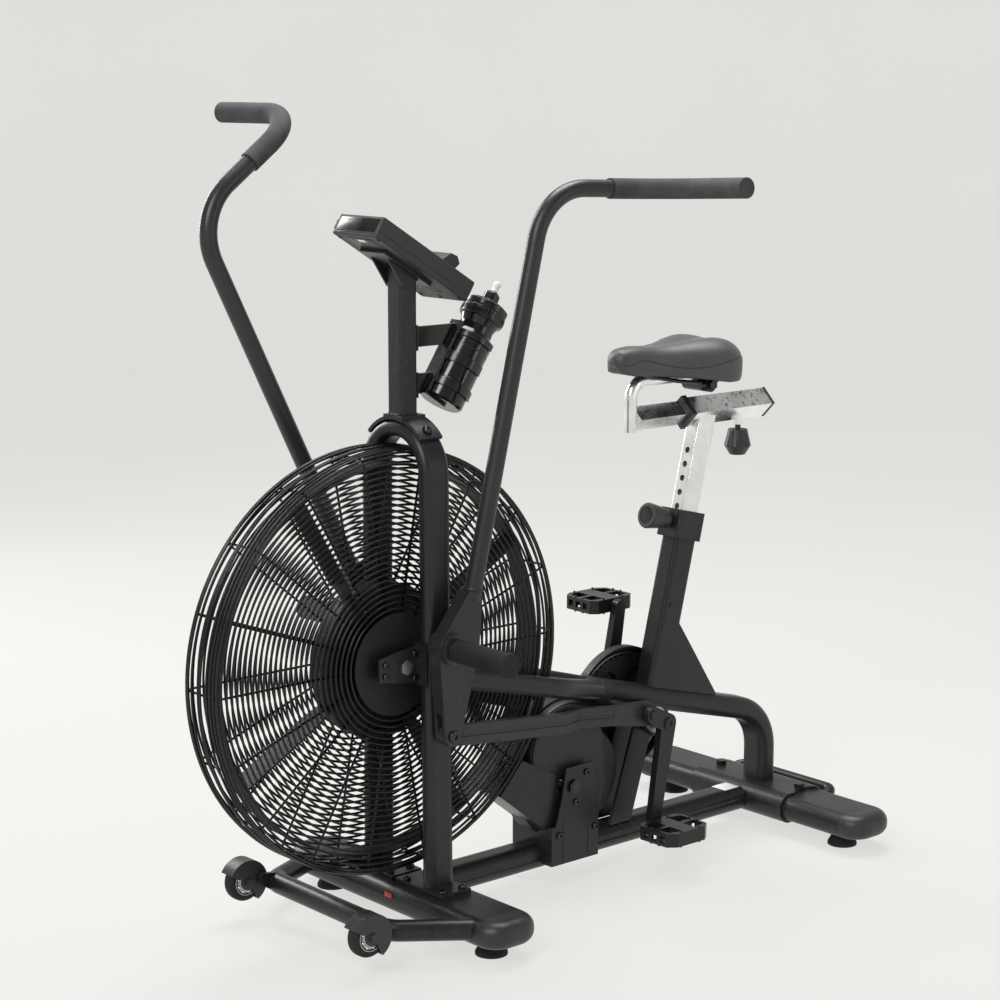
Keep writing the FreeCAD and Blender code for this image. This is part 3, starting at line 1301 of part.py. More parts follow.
def handle_arm():
    lever_circles = [(20, 86, 15), (38, 10, 15), (LINK_PIN_Y, LINK_PIN_Z, 16), (0, 0, 27)]
    lever = hull_x(lever_circles, ARM_X - 13, ARM_X + 13)
    hub = rod_x(92, 134, 0, 0, 25)
    tube = arm_tube(ARM_TUBE_RADIUS, 0)
    weld = Part.makeTorus(ARM_TUBE_RADIUS + 0.5, 2.5, vec(117.3, 19, 98), vec(12.5, -58.5, 647))
    arm = fuse([lever, hub, tube, weld])
    arm = arm.cut(rod_x(80, 140, 0, 0, PEG_SHAFT_RADIUS + RUNNING_FIT))
    slot = box(ARM_X - 7, ARM_X + 7, -40, 120, LINK_PIN_Z - 40, LINK_PIN_Z + 30)
    arm = arm.cut(slot)
    return arm.cut(rod_x(80, 140, LINK_PIN_Y, LINK_PIN_Z, LINK_PIN_RADIUS))


def grip():
    sleeve_shape = arm_tube(GRIP_RADIUS, 0.52)
    tip = vec(*ARM_TIP)
    inward = vec(*ARM_ELBOW).sub(tip).normalize()
    end_cap_shape = Part.makeCylinder(GRIP_RADIUS, 4, tip, inward * -1)
    whole = fuse([sleeve_shape, end_cap_shape])
    return whole.cut(arm_tube(ARM_TUBE_RADIUS, 0))


def link_pin():
    shank = rod_x(ARM_X - 15, ARM_X + 15, LINK_PIN_Y, LINK_PIN_Z, LINK_PIN_RADIUS)
    head = button_head(vec(ARM_X + 13, LINK_PIN_Y, LINK_PIN_Z), X_AXIS, 10, 5)
    nut = hex_prism(vec(ARM_X - 19, LINK_PIN_Y, LINK_PIN_Z), X_AXIS, 17, 6)
    return fuse([shank, head, nut])


def placed_arm(shape, side, swing):
    """Swing an arm piece about the peg axis, move it onto the axis and pick its side."""
    placed_shape = shape.copy() if side > 0 else mirrored(shape)
    placed_shape.rotate(ORIGIN, X_AXIS, swing)
    placed_shape.translate(vec(0, PEG_Y, PEG_Z))
    return placed_shape


# Bends of each link bar: the left one swings out round the frame tube, the right one stays
# inside the sweep of the crank arm.
LEFT_BAR_BENDS = [(90, 268), (LINK_REAR_X, 325)]
RIGHT_BAR_BENDS = [(LINK_REAR_X, 232)]


def link_bar(bends, notched):
    """Bar drawn along +Y from the handle pin, at the origin, to the crank eye.

    The notched bar is cut away above its neck, where the crank spindle passes over it.
    """
    half = LINK_THICKNESS / 2
    front = [(ARM_X, 12), (ARM_X, 30)] + bends + [(LINK_REAR_X, 404)]
    outer = [(x + half, y) for x, y in front]
    inner = [(x - half, y) for x, y in reversed(front)]
    plan = outer + inner
    bar = prism([(x, y, -LINK_HEIGHT / 2) for x, y in plan], vec(0, 0, LINK_HEIGHT))
    groove_plan = [(x + half - 1.5, y - 2) for x, y in front]
    groove_plan = groove_plan + [(x + half + 9, y + 2) for x, y in reversed(front)]
    bar = bar.cut(prism([(x, y, -3) for x, y in groove_plan], vec(0, 0, 6)))
    eye = rod_x(ARM_X - 6.4, ARM_X + 6.4, 0, 0, 16)
    neck = LINK_EYE_RADIUS - 0.5
    plate_outline = [(392, -17), (392, 17), (LINK_LENGTH - 4, neck), (LINK_LENGTH - 4, -neck)]
    plate = prism_x(plate_outline, LINK_REAR_X - 5, LINK_REAR_X + 5)
    ring = rod_x(LINK_REAR_X - 5, LINK_REAR_X + 5, LINK_LENGTH, 0, LINK_EYE_RADIUS)
    bar = fuse([bar, eye, plate, ring])
    bar = bar.cut(rod_x(ARM_X - 9, ARM_X + 9, 0, 0, LINK_PIN_RADIUS + RUNNING_FIT))
    if notched:
        low = (LINK_LENGTH - 40, 9, SPINDLE_RADIUS + 2.5)
        high = (LINK_LENGTH - 17, 35, SPINDLE_RADIUS + 2.5)
        bar = bar.cut(capsule_x(low, high, LINK_REAR_X - 9, LINK_REAR_X + 9))
    return bar.cut(rod_x(LINK_REAR_X - 9, LINK_REAR_X + 9, LINK_LENGTH, 0, 9))


def placed_link(side, swing, eye_y, eye_z):
    pin_y, pin_z = turned_point(LINK_PIN_Y, LINK_PIN_Z, swing)
    pin_y += PEG_Y
    pin_z += PEG_Z
    slope = math.degrees(math.atan2(eye_z - pin_z, eye_y - pin_y))
    if side > 0:
        bar = link_bar(LEFT_BAR_BENDS, False)
    else:
        bar = mirrored(link_bar(RIGHT_BAR_BENDS, True))
    bar.rotate(ORIGIN, X_AXIS, slope)
    bar.translate(vec(0, pin_y, pin_z))
    return bar


arm_shape = handle_arm()
grip_shape = grip()
pin_shape = link_pin()
for side, name, swing in ((1, "left", SWING_LEFT), (-1, "right", SWING_RIGHT)):
    save("handle_" + name, placed_arm(arm_shape, side, swing))
    save("grip_" + name, placed_arm(grip_shape, side, swing))
    save("link_pin_" + name, placed_arm(pin_shape, side, swing))
    eye_y = CRANK_Y - side * PIN_FORWARD
    eye_z = CRANK_Z + side * PIN_UP
    save("link_bar_" + name, placed_link(side, swing, eye_y, eye_z))

# ---------------------------------------------------------------- fasteners

bolts = []
for side in (-1, 1):
    out = X_AXIS * side
    for bolt_x, bolt_y in ((112, 36), (112, 78), (22, 36), (22, 78)):
        bolts.append(button_head(vec(side * bolt_x, bolt_y, LEG_FOOT_Z), Z_AXIS, 7, 5))
    bolts.append(hex_prism(vec(side * 98, REAR_STAB_Y + 8, SLEEVE_TOP), Z_AXIS, 17, 8))
    for bolt_y, bolt_z in ((-38, 452), (-38, 434), (20, 462), (20, 424)):
        bolts.append(button_head(vec(side * 66, bolt_y, bolt_z), out, 5.5, 4))
    angle = math.radians(38)
    direction = vec(side * math.sin(angle), 0, math.cos(angle))
    strap_face = vec(0, LEG_Y, ARCH_Z).add(direction * (ARCH_RADIUS + 19.3))
    bolts.append(button_head(strap_face, direction, 8, 6).cut(post_saddle))
for bolt_y, bolt_z in ((404, 190), (380, 142), (342, 90), (424, 90)):
    bolts.append(button_head(vec(50, bolt_y, bolt_z), X_AXIS, 6, 4.5))
save("frame_bolts", group(bolts))
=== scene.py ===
import bpy
import math
import random
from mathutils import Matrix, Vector
from mathutils.kdtree import KDTree


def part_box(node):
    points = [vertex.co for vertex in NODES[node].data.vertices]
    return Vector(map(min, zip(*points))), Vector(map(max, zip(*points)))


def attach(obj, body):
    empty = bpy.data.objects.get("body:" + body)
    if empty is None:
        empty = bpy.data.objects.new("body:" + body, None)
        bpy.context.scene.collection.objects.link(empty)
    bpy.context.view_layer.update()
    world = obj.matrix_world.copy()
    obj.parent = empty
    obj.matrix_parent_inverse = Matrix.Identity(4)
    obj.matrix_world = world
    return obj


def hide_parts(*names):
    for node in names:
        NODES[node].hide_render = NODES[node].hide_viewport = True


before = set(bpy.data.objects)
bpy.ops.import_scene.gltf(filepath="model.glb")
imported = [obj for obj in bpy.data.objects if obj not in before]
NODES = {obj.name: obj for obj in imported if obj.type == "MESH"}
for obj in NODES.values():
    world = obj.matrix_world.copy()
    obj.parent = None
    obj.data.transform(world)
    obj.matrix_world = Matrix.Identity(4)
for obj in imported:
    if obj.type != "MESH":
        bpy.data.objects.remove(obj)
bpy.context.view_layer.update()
random.seed(7)
SCENE = bpy.context.scene


# ------------------------------------------------------------------ material helpers

def new_material(name):
    mat = bpy.data.materials.new(name)
    mat.use_nodes = True
    tree = mat.node_tree
    shader = tree.nodes["Principled BSDF"]
    return mat, tree, shader


def coords(tree, scale=(1, 1, 1)):
    place = tree.nodes.new("ShaderNodeTexCoord")
    mapping = tree.nodes.new("ShaderNodeMapping")
    mapping.inputs["Scale"].default_value = scale
    tree.links.new(place.outputs["Object"], mapping.inputs["Vector"])
    return mapping.outputs["Vector"]


def noise(tree, vector, scale, detail=3.0, rough=0.5):
    node = tree.nodes.new("ShaderNodeTexNoise")
    node.inputs["Scale"].default_value = scale
    node.inputs["Detail"].default_value = detail
    node.inputs["Roughness"].default_value = rough
    tree.links.new(vector, node.inputs["Vector"])
    return node.outputs["Fac"]


def cells(tree, vector, scale, feature="F1"):
    node = tree.nodes.new("ShaderNodeTexVoronoi")
    node.feature = feature
    node.inputs["Scale"].default_value = scale
    tree.links.new(vector, node.inputs["Vector"])
    return node.outputs["Distance"]


def ramp(tree, factor, stops):
    """Colour ramp; each stop is a place and a grey value or a colour."""
    node = tree.nodes.new("ShaderNodeValToRGB")
    bar = node.color_ramp
    while len(bar.elements) < len(stops):
        bar.elements.new(0.5)
    for element, (place, value) in zip(bar.elements, stops):
        element.position = place
        colour = (value, value, value) if isinstance(value, float) else value
        element.color = (*colour, 1.0)
    tree.links.new(factor, node.inputs["Fac"])
    return node.outputs["Color"]


def blend_colour(tree, factor, first, second, mode="MIX"):
    node = tree.nodes.new("ShaderNodeMix")
    node.data_type = "RGBA"
    node.blend_type = mode
    if isinstance(factor, float):
        node.inputs["Factor"].default_value = factor
    else:
        tree.links.new(factor, node.inputs["Factor"])
    for socket, value in ((node.inputs[6], first), (node.inputs[7], second)):
        if isinstance(value, tuple):
            socket.default_value = (*value, 1.0)
        else:
            tree.links.new(value, socket)
    return node.outputs[2]


def bump(tree, shader, height, distance, strength=1.0, before=None):
    node = tree.nodes.new("ShaderNodeBump")
    node.inputs["Distance"].default_value = distance
    node.inputs["Strength"].default_value = strength
    tree.links.new(height, node.inputs["Height"])
    if before is not None:
        tree.links.new(before, node.inputs["Normal"])
    tree.links.new(node.outputs["Normal"], shader.inputs["Normal"])
    return node.outputs["Normal"]


def soft_edge(tree, radius):
    """Surface normal rounded over the hard edges of a solid."""
    node = tree.nodes.new("ShaderNodeBevel")
    node.samples = 4
    node.inputs["Radius"].default_value = radius
    return node.outputs["Normal"]


def edge_light(tree, low, high):
    """Bright along convex edges, from the surface's own curvature."""
    geometry = tree.nodes.new("ShaderNodeNewGeometry")
    return ramp(tree, geometry.outputs["Pointiness"], [(low, 0.0), (high, 1.0)])


def powder_coat(name, colour, rough, wear=0.25, grain=1100.0):
    """Satin powder coat: fine orange peel, soft cloudiness, edges rubbed lighter."""
    mat, tree, shader = new_material(name)
    vector = coords(tree)
    cloud = noise(tree, vector, 9.0, 5.0, 0.6)
    dark = tuple(c * 0.82 for c in colour)
    light = tuple(c * 1.22 for c in colour)
    tone = ramp(tree, cloud, [(0.3, dark), (0.7, light)])
    edge = edge_light(tree, 0.52, 0.62)
    scatter = noise(tree, vector, 120.0, 4.0, 0.7)
    worn = tree.nodes.new("ShaderNodeMath")
    worn.operation = "MULTIPLY"
    tree.links.new(edge, worn.inputs[0])
    tree.links.new(ramp(tree, scatter, [(0.45, 0.0), (0.75, wear)]), worn.inputs[1])
    rubbed = tuple(min(1.0, c * 3.2 + 0.03) for c in colour)
    tree.links.new(blend_colour(tree, worn.outputs[0], tone, rubbed), shader.inputs["Base Color"])
    gloss = ramp(tree, cloud, [(0.25, rough - 0.05), (0.75, rough + 0.06)])
    tree.links.new(gloss, shader.inputs["Roughness"])
    shader.inputs["Specular IOR Level"].default_value = 0.36
    bump(tree, shader, noise(tree, vector, grain, 2.0, 0.5), 0.00025, 0.35, soft_edge(tree, 0.0014))
    return mat


def moulded(name, colour, rough, grain=2200.0, depth=0.0002):
    """Moulded plastic with a fine spark-eroded texture."""
    mat, tree, shader = new_material(name)
    vector = coords(tree)
    cloud = noise(tree, vector, 14.0, 4.0, 0.6)
    dark = tuple(c * 0.8 for c in colour)
    light = tuple(c * 1.25 for c in colour)
    tree.links.new(ramp(tree, cloud, [(0.3, dark), (0.7, light)]), shader.inputs["Base Color"])
    gloss = ramp(tree, cloud, [(0.3, rough - 0.05), (0.7, rough + 0.07)])
    tree.links.new(gloss, shader.inputs["Roughness"])
    bump(tree, shader, cells(tree, vector, grain), depth, 0.35, soft_edge(tree, 0.0012))
    return mat


def rubbery(name, colour, rough, grain=1500.0, depth=0.0004):
    """Matt rubber or foam skin with open pores, the pore hollows painted darker as shade."""
    mat, tree, shader = new_material(name)
    vector = coords(tree)
    pores = noise(tree, vector, grain, 6.0, 0.75)
    cloud = noise(tree, vector, 25.0, 4.0, 0.6)
    low = tuple(c * 0.7 for c in colour)
    high = tuple(c * 1.3 for c in colour)
    tone = ramp(tree, cloud, [(0.3, low), (0.7, high)])
    # Base colour is darkened where the pore noise is low, in the hollows the bump presses in: painted shade
    # in the pores.
    pore_shade = ramp(tree, pores, [(0.4, 0.75), (0.6, 1.0)])
    tree.links.new(blend_colour(tree, 1.0, tone, pore_shade, "MULTIPLY"), shader.inputs["Base Color"])
    gloss = ramp(tree, pores, [(0.3, rough - 0.08), (0.7, rough + 0.08)])
    tree.links.new(gloss, shader.inputs["Roughness"])
    shader.inputs["Specular IOR Level"].default_value = 0.35
    bump(tree, shader, pores, depth, 0.45)
    return mat


def plated(name, colour, rough, streak=(1, 1, 1)):
    """Bright plate with faint polishing lines and smudges."""
    mat, tree, shader = new_material(name)
    shader.inputs["Metallic"].default_value = 1.0
    vector = coords(tree)
    lines = noise(tree, coords(tree, streak), 160.0, 3.0, 0.6)
    smudge = noise(tree, vector, 22.0, 5.0, 0.65)
    tone = ramp(tree, smudge, [(0.3, tuple(c * 0.86 for c in colour)), (0.65, colour)])
    tree.links.new(tone, shader.inputs["Base Color"])
    mixed = blend_colour(
        tree, 0.5,
        ramp(tree, smudge, [(0.35, rough * 0.7), (0.8, rough * 1.9)]),
        ramp(tree, lines, [(0.3, rough * 0.8), (0.7, rough * 1.3)]),
    )
    tree.links.new(mixed, shader.inputs["Roughness"])
    bump(tree, shader, lines, 0.00005, 0.2)
    return mat


def scuffed_plate(name, colour, rough):
    """Bright plate whose upward faces carry dark scuffs and specks."""
    mat = plated(name, colour, rough)
    tree = mat.node_tree
    shader = tree.nodes["Principled BSDF"]
    clean = shader.inputs["Base Color"].links[0].from_socket
    geometry = tree.nodes.new("ShaderNodeNewGeometry")
    parts = tree.nodes.new("ShaderNodeSeparateXYZ")
    tree.links.new(geometry.outputs["Normal"], parts.inputs["Vector"])
    upward = ramp(tree, parts.outputs["Z"], [(0.45, 0.0), (0.7, 1.0)])
    specks = ramp(tree, noise(tree, coords(tree), 95.0, 6.0, 0.75), [(0.36, 0.2), (0.47, 1.0)])
    marked = blend_colour(tree, 1.0, clean, specks, "MULTIPLY")
    tree.links.new(blend_colour(tree, upward, clean, marked), shader.inputs["Base Color"])
    return mat


def leather(name, colour, rough):
    """Grained vinyl: small irregular pebbles split by creases, the creases painted darker as shade."""
    mat, tree, shader = new_material(name)
    vector = coords(tree)
    warp = noise(tree, vector, 260.0, 3.0, 0.5)
    pebble = cells(tree, vector, 620.0)
    crease = cells(tree, vector, 620.0, "DISTANCE_TO_EDGE")
    cloud = noise(tree, vector, 12.0, 5.0, 0.6)
    tone = ramp(tree, cloud, [(0.3, tuple(c * 0.8 for c in colour)), (0.7, tuple(c * 1.3 for c in colour))])
    # Base colour is darkened along the crease lines: painted shade in the creases of the grain.
    lines = ramp(tree, crease, [(0.0, 0.55), (0.12, 1.0)])
    tree.links.new(blend_colour(tree, 1.0, tone, lines, "MULTIPLY"), shader.inputs["Base Color"])
    tree.links.new(ramp(tree, warp, [(0.3, rough - 0.06), (0.7, rough + 0.08)]), shader.inputs["Roughness"])
    first = bump(tree, shader, ramp(tree, crease, [(0.0, 0.0), (0.2, 1.0)]), 0.0003, 0.3)
    bump(tree, shader, blend_colour(tree, 0.5, warp, pebble), 0.0003, 0.25, first)
    shader.inputs["Sheen Weight"].default_value = 0.08
    return mat


FRAME_PAINT = powder_coat("frame_paint", (0.0095, 0.0107, 0.0122), 0.34)
LINK_PAINT = powder_coat("arm_paint", (0.018, 0.019, 0.021), 0.34, 0.35)
WIRE_PAINT = powder_coat("wire_paint", (0.005, 0.005, 0.0055), 0.26, 0.1, 700.0)
FAN_PAINT = powder_coat("fan_paint", (0.0045, 0.0047, 0.005), 0.5, 0.15)
COVER_PLASTIC = moulded("cover_plastic", (0.011, 0.012, 0.0135), 0.5, 1500.0, 0.0003)
TRIM_PLASTIC = moulded("trim_plastic", (0.017, 0.0175, 0.0185), 0.4)
CONSOLE_PLASTIC = moulded("console_plastic", (0.018, 0.019, 0.021), 0.52)
GLOSS_PLASTIC = moulded("gloss_plastic", (0.006, 0.006, 0.0065), 0.2, 500.0, 0.00005)
RUBBER = rubbery("rubber", (0.012, 0.012, 0.012), 0.75)
FOAM = rubbery("foam", (0.055, 0.056, 0.06), 0.82, 1900.0, 0.0006)
VINYL = leather("vinyl", (0.05, 0.051, 0.055), 0.38)
CHROME = plated("chrome", (0.93, 0.93, 0.935), 0.13, (1, 0.05, 1))
SCUFFED_CHROME = scuffed_plate("scuffed_chrome", (0.93, 0.93, 0.935), 0.24)
SATIN_STEEL = plated("satin_steel", (0.42, 0.42, 0.43), 0.3)
BLACK_STEEL = plated("black_steel", (0.06, 0.06, 0.065), 0.3)
CHAIN_STEEL = plated("chain_steel", (0.2, 0.2, 0.21), 0.34)
PEDAL_PAINT = powder_coat("pedal_paint", (0.009, 0.009, 0.0095), 0.3, 1.0)
BOTTLE_SKIN = moulded("bottle_skin", (0.005, 0.0052, 0.0056), 0.13, 400.0, 0.00006)
KEY_SKIN = moulded("key_skin", (0.16, 0.165, 0.17), 0.6)

PAINT = {
    "cage_left": WIRE_PAINT, "cage_right": WIRE_PAINT, "cage_hubs": FAN_PAINT, "fan_rotor": FAN_PAINT,
    "chainring": FAN_PAINT, "fan_axle": SATIN_STEEL, "jackshaft": BLACK_STEEL, "foot_studs": SATIN_STEEL,
    "drive_chains": CHAIN_STEEL, "frame_bolts": BLACK_STEEL, "link_pin_left": BLACK_STEEL,
    "link_pin_right": BLACK_STEEL, "bottle": BOTTLE_SKIN, "bottle_lid": GLOSS_PLASTIC,
    "bottle_holder": GLOSS_PLASTIC, "chain_cover": COVER_PLASTIC, "drive_cover": COVER_PLASTIC,
    "front_guard": FRAME_PAINT, "console_housing": CONSOLE_PLASTIC, "console_keys": KEY_SKIN,
    "console_screen": GLOSS_PLASTIC, "foot_peg_sleeves": RUBBER, "levelling_feet": RUBBER,
    "transport_wheel_left": RUBBER, "transport_wheel_right": RUBBER, "wheel_fenders": TRIM_PLASTIC,
    "grip_left": FOAM, "grip_right": FOAM, "handle_left": LINK_PAINT, "handle_right": LINK_PAINT,
    "link_bar_left": LINK_PAINT, "link_bar_right": LINK_PAINT, "height_knob": TRIM_PLASTIC,
    "slide_knob": TRIM_PLASTIC, "slide_caps": TRIM_PLASTIC, "stabiliser_end_caps": TRIM_PLASTIC,
    "saddle_pan": TRIM_PLASTIC, "saddle_clamp": BLACK_STEEL,
    "seat_carrier": SCUFFED_CHROME, "seat_post": SCUFFED_CHROME,
    "pedal_left": PEDAL_PAINT, "pedal_right": PEDAL_PAINT,
}
for node_name, node in NODES.items():
    node.data.materials.clear()
    node.data.materials.append(PAINT.get(node_name, FRAME_PAINT))

# ------------------------------------------------------------------ mesh helpers

def mesh_object(name, vertices, faces, mats, smooth=True):
    mesh = bpy.data.meshes.new(name)
    mesh.from_pydata([tuple(v) for v in vertices], [], faces)
    mesh.update()
    for mat in mats:
        mesh.materials.append(mat)
    for face in mesh.polygons:
        face.use_smooth = smooth
    obj = bpy.data.objects.new(name, mesh)
    SCENE.collection.objects.link(obj)
    return obj


def apply_modifiers(obj):
    bpy.context.view_layer.update()
    graph = bpy.context.evaluated_depsgraph_get()
    mesh = bpy.data.meshes.new_from_object(obj.evaluated_get(graph))
    obj.modifiers.clear()
    obj.data = mesh
    return obj


def rings_to_mesh(name, rings, mats, closed_ends=True):
    """Skin a list of equal rings of points into one closed surface."""
    count = len(rings[0])
    vertices = [point for ring in rings for point in ring]
    faces = []
    for r in range(len(rings) - 1):
        for i in range(count):
            j = (i + 1) % count
            faces.append((r * count + i, r * count + j, (r + 1) * count + j, (r + 1) * count + i))
    if closed_ends:
        faces.append(tuple(reversed(range(count))))
        last = (len(rings) - 1) * count
        faces.append(tuple(range(last, last + count)))
    return mesh_object(name, vertices, faces, mats)


def tube_skin(points, radius, sides=12, closed=False):
    """Vertices and faces of a round tube through points, its frame carried along the path."""
    path = [Vector(p) for p in points]
    count = len(path)
    vertices = []
    normal = None
    for i, point in enumerate(path):
        ahead = path[(i + 1) % count] if closed else path[min(i + 1, count - 1)]
        behind = path[i - 1] if closed else path[max(i - 1, 0)]
        along = (ahead - behind).normalized()
        if normal is None:
            normal = along.orthogonal().normalized()
        normal = (normal - along * normal.dot(along)).normalized()
        across = along.cross(normal)
        r = radius(i / (count - 1)) if callable(radius) else radius
        for k in range(sides):
            turn = 2 * math.pi * k / sides
            vertices.append(point + (normal * math.cos(turn) + across * math.sin(turn)) * r)
    faces = []
    for i in range(count if closed else count - 1):
        here = i * sides
        there = (i + 1) % count * sides
        for k in range(sides):
            m = (k + 1) % sides
            faces.append((here + k, here + m, there + m, there + k))
    if not closed:
        faces.append(tuple(reversed(range(sides))))
        faces.append(tuple(range((count - 1) * sides, count * sides)))
    return vertices, faces


def joined(name, skins, mats, smooth=True):
    vertices = []
    faces = []
    for points, polygons in skins:
        start = len(vertices)
        vertices.extend(points)
        faces.extend(tuple(start + k for k in polygon) for polygon in polygons)
    return mesh_object(name, vertices, faces, mats, smooth)


def tube_along(name, points, radius, mats, sides=12, closed=False):
    return joined(name, [tube_skin(points, radius, sides, closed)], mats)


def between(rows, d):
    """Smooth value of each column of a table at distance d, its first column."""
    for i in range(len(rows) - 1):
        if d <= rows[i + 1][0]:
            break
    before = rows[max(i - 1, 0)]
    low, high = rows[i], rows[i + 1]
    after = rows[min(i + 2, len(rows) - 1)]
    t = min(1.0, max(0.0, (d - low[0]) / (high[0] - low[0])))
    found = []
    for k in range(1, len(low)):
        m0 = (high[k] - before[k]) / (high[0] - before[0]) * (high[0] - low[0])
        m1 = (after[k] - low[k]) / (after[0] - low[0]) * (high[0] - low[0])
        a = 2 * t ** 3 - 3 * t ** 2 + 1
        b = t ** 3 - 2 * t ** 2 + t
        c = -2 * t ** 3 + 3 * t ** 2
        e = t ** 3 - t ** 2
        found.append(a * low[k] + b * m0 + c * high[k] + e * m1)
    return found


# ------------------------------------------------------------------ saddle

# Distance back from the nose, half width, top, underside, and the dip down the middle (millimetres;
# heights are above the bottom of the saddle base).
SADDLE = (
    (0.0, 15.0, 59.5, 34.5, 0.0),
    (13.0, 25.0, 67.5, 23.5, 0.5),
    (45.0, 33.0, 71.5, 18.5, 1.0),
    (89.0, 40.0, 69.5, 15.5, 2.5),
    (129.0, 55.0, 72.5, 11.5, 5.0),
    (169.0, 75.0, 78.5, 6.5, 8.0),
    (204.0, 87.0, 81.5, 0.5, 9.5),
    (236.0, 81.0, 75.5, 0.0, 7.0),
    (256.0, 58.0, 63.5, 5.5, 3.0),
)
# Height of the sewn flank line as a share of the thickness, against distance back.
FLANK_LINE = (
    (0.0, 0.3), (20.0, 0.42), (48.0, 0.56), (90.0, 0.4),
    (130.0, 0.3), (170.0, 0.36), (215.0, 0.55), (256.0, 0.7),
)
SADDLE_LENGTH = 256.0


def saddle_half(d, shrink):
    """Half of one section, from the middle of the top round to the middle of the underside."""
    half, top, low, dip = between(SADDLE, d)
    end = min(d, SADDLE_LENGTH - d)
    if end < 16.0:
        roundness = math.sqrt(max(0.0, 1 - (1 - end / 16.0) ** 2))
        middle = (top + low) / 2
        half *= 0.35 + 0.65 * roundness
        top = middle + (top - middle) * (0.3 + 0.7 * roundness)
        low = middle - (middle - low) * (0.3 + 0.7 * roundness)
    half -= shrink
    top -= shrink
    low += shrink
    seam = low + (top - low) * 0.5
    recess = max(low + 1.0, 26.5) if d > 30.0 else low + 1.0
    points = []
    for k in range(13):
        x = half * math.sin(k / 13 * math.pi / 2)
        rise = (1 - (x / half) ** 2.6) ** 0.55
        z = seam + (top - seam) * rise - dip * math.exp(-((x / (0.34 * half)) ** 2))
        points.append((x, z))
    drop = seam - low
    points += [(half, seam), (half * 0.998, seam - drop * 0.3), (half * 0.985, seam - drop * 0.62)]
    points += [(half * 0.96, seam - drop * 0.9), (half * 0.92, low), (half * 0.84, low + 0.5)]
    inner = min(half * 0.62, 42.0) if d > 95.0 else min(half * 0.55, 20.0)
    points += [(inner + (half * 0.84 - inner) * 0.4, low + 1.5), (inner, low + 0.4 * (recess - low))]
    points += [(inner * 0.9, recess), (inner * 0.5, recess), (0.0, recess)]
    return points


def saddle_base():
    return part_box("saddle_cushion")[0].y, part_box("saddle_pan")[0].z


def saddle():
    front, floor_z = saddle_base()
    rings = []
    steps = 60
    for r in range(steps + 1):
        d = SADDLE_LENGTH * (0.5 - 0.5 * math.cos(math.pi * r / steps))
        half = saddle_half(d, 1.2)
        ring = half + [(-x, z) for x, z in reversed(half[1:-1])]
        y = front + min(max(d, 1.2), SADDLE_LENGTH - 1.2) / 1000
        rings.append([Vector((x / 1000, y, floor_z + z / 1000)) for x, z in ring])
    body = rings_to_mesh("saddle", rings, [VINYL, TRIM_PLASTIC])
    remesh = body.modifiers.new("remesh", "REMESH")
    remesh.mode = "VOXEL"
    remesh.voxel_size = 0.0042
    apply_modifiers(body)
    before = [v.co.copy() for v in body.data.vertices]
    hold = body.vertex_groups.new(name="hold")
    for v in body.data.vertices:
        if v.normal.z < -0.4 or abs(v.co.x) < 0.012:
            hold.add([v.index], 1.0 if v.normal.z < -0.4 else 0.45, "REPLACE")
    cloth = body.modifiers.new("cloth", "CLOTH")
    cloth.settings.use_pressure = True
    cloth.settings.uniform_pressure_force = 4.0
    cloth.settings.effector_weights.gravity = 0.0
    cloth.settings.vertex_group_mass = "hold"
    cloth.settings.quality = 5
    cloth.point_cache.frame_start = 1
    cloth.point_cache.frame_end = 20
    for step in range(1, 21):
        SCENE.frame_set(step)
    apply_modifiers(body)
    SCENE.frame_set(1)
    for v, old in zip(body.data.vertices, before):
        move = v.co - old
        if move.length > 0.006:
            v.co = old + move.normalized() * 0.006
    fine = body.modifiers.new("fine", "SUBSURF")
    fine.levels = 1
    fine.render_levels = 1
    apply_modifiers(body)
    return body


def sewn_groove(body, path, depth, width):
    """Press the surface in along a line, as a seam pulls it."""
    tree = KDTree(len(path))
    for i, point in enumerate(path):
        tree.insert(point, i)
    tree.balance()
    normals = [v.normal.copy() for v in body.data.vertices]
    for v, normal in zip(body.data.vertices, normals):
        _, _, distance = tree.find(v.co)
        if distance < width * 3:
            v.co -= normal * depth * math.exp(-((distance / width) ** 2))
    body.data.update()


def on_surface(body, points, lift=0.0):
    found = []
    for point in points:
        hit, place, normal, _ = body.closest_point_on_mesh(Vector(point))
        if hit:
            found.append(place + normal * lift)
    return found


def finish_saddle():
    body = saddle()
    front, floor_z = saddle_base()
    # Flank seam: from one side of the tail, round the nose, to the other side.
    side = []
    for step in range(121):
        d = 6 + (SADDLE_LENGTH - 8) * step / 120
        half, top, low, _ = between(SADDLE, d)
        share, = between(FLANK_LINE, d)
        side.append((half, d, low + (top - low) * share))
    left = [Vector((x / 1000, front + d / 1000, floor_z + z / 1000)) for x, d, z in side]
    right = [Vector((-p.x, p.y, p.z)) for p in left]
    loop = on_surface(body, list(reversed(left)) + right)
    sewn_groove(body, loop, 0.0011, 0.0021)
    # Tail panel seam: an arch across the back of the top.
    arch = []
    for step in range(81):
        turn = math.pi * (0.08 + 0.84 * step / 80)
        x = 70 * math.cos(turn)
        d = 222 + 20 * math.sin(turn) ** 1.2
        arch.append(Vector((x / 1000, front + d / 1000, floor_z + 0.12)))
    tail = on_surface(body, [a - Vector((0, 0, 0.03)) for a in arch])
    sewn_groove(body, tail, 0.0008, 0.0018)
    for face in body.data.polygons:
        face.use_smooth = True
        face.material_index = 1 if face.normal.z < -0.55 else 0
    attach(body, "saddle_body")
    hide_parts("saddle_cushion", "saddle_pan")
    for name, line in (("saddle_welt_flank", loop), ("saddle_welt_tail", tail)):
        thread = tube_along(name, on_surface(body, line, 0.0001), 0.0006, [TRIM_PLASTIC], 8)
        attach(thread, "saddle_body")


finish_saddle()

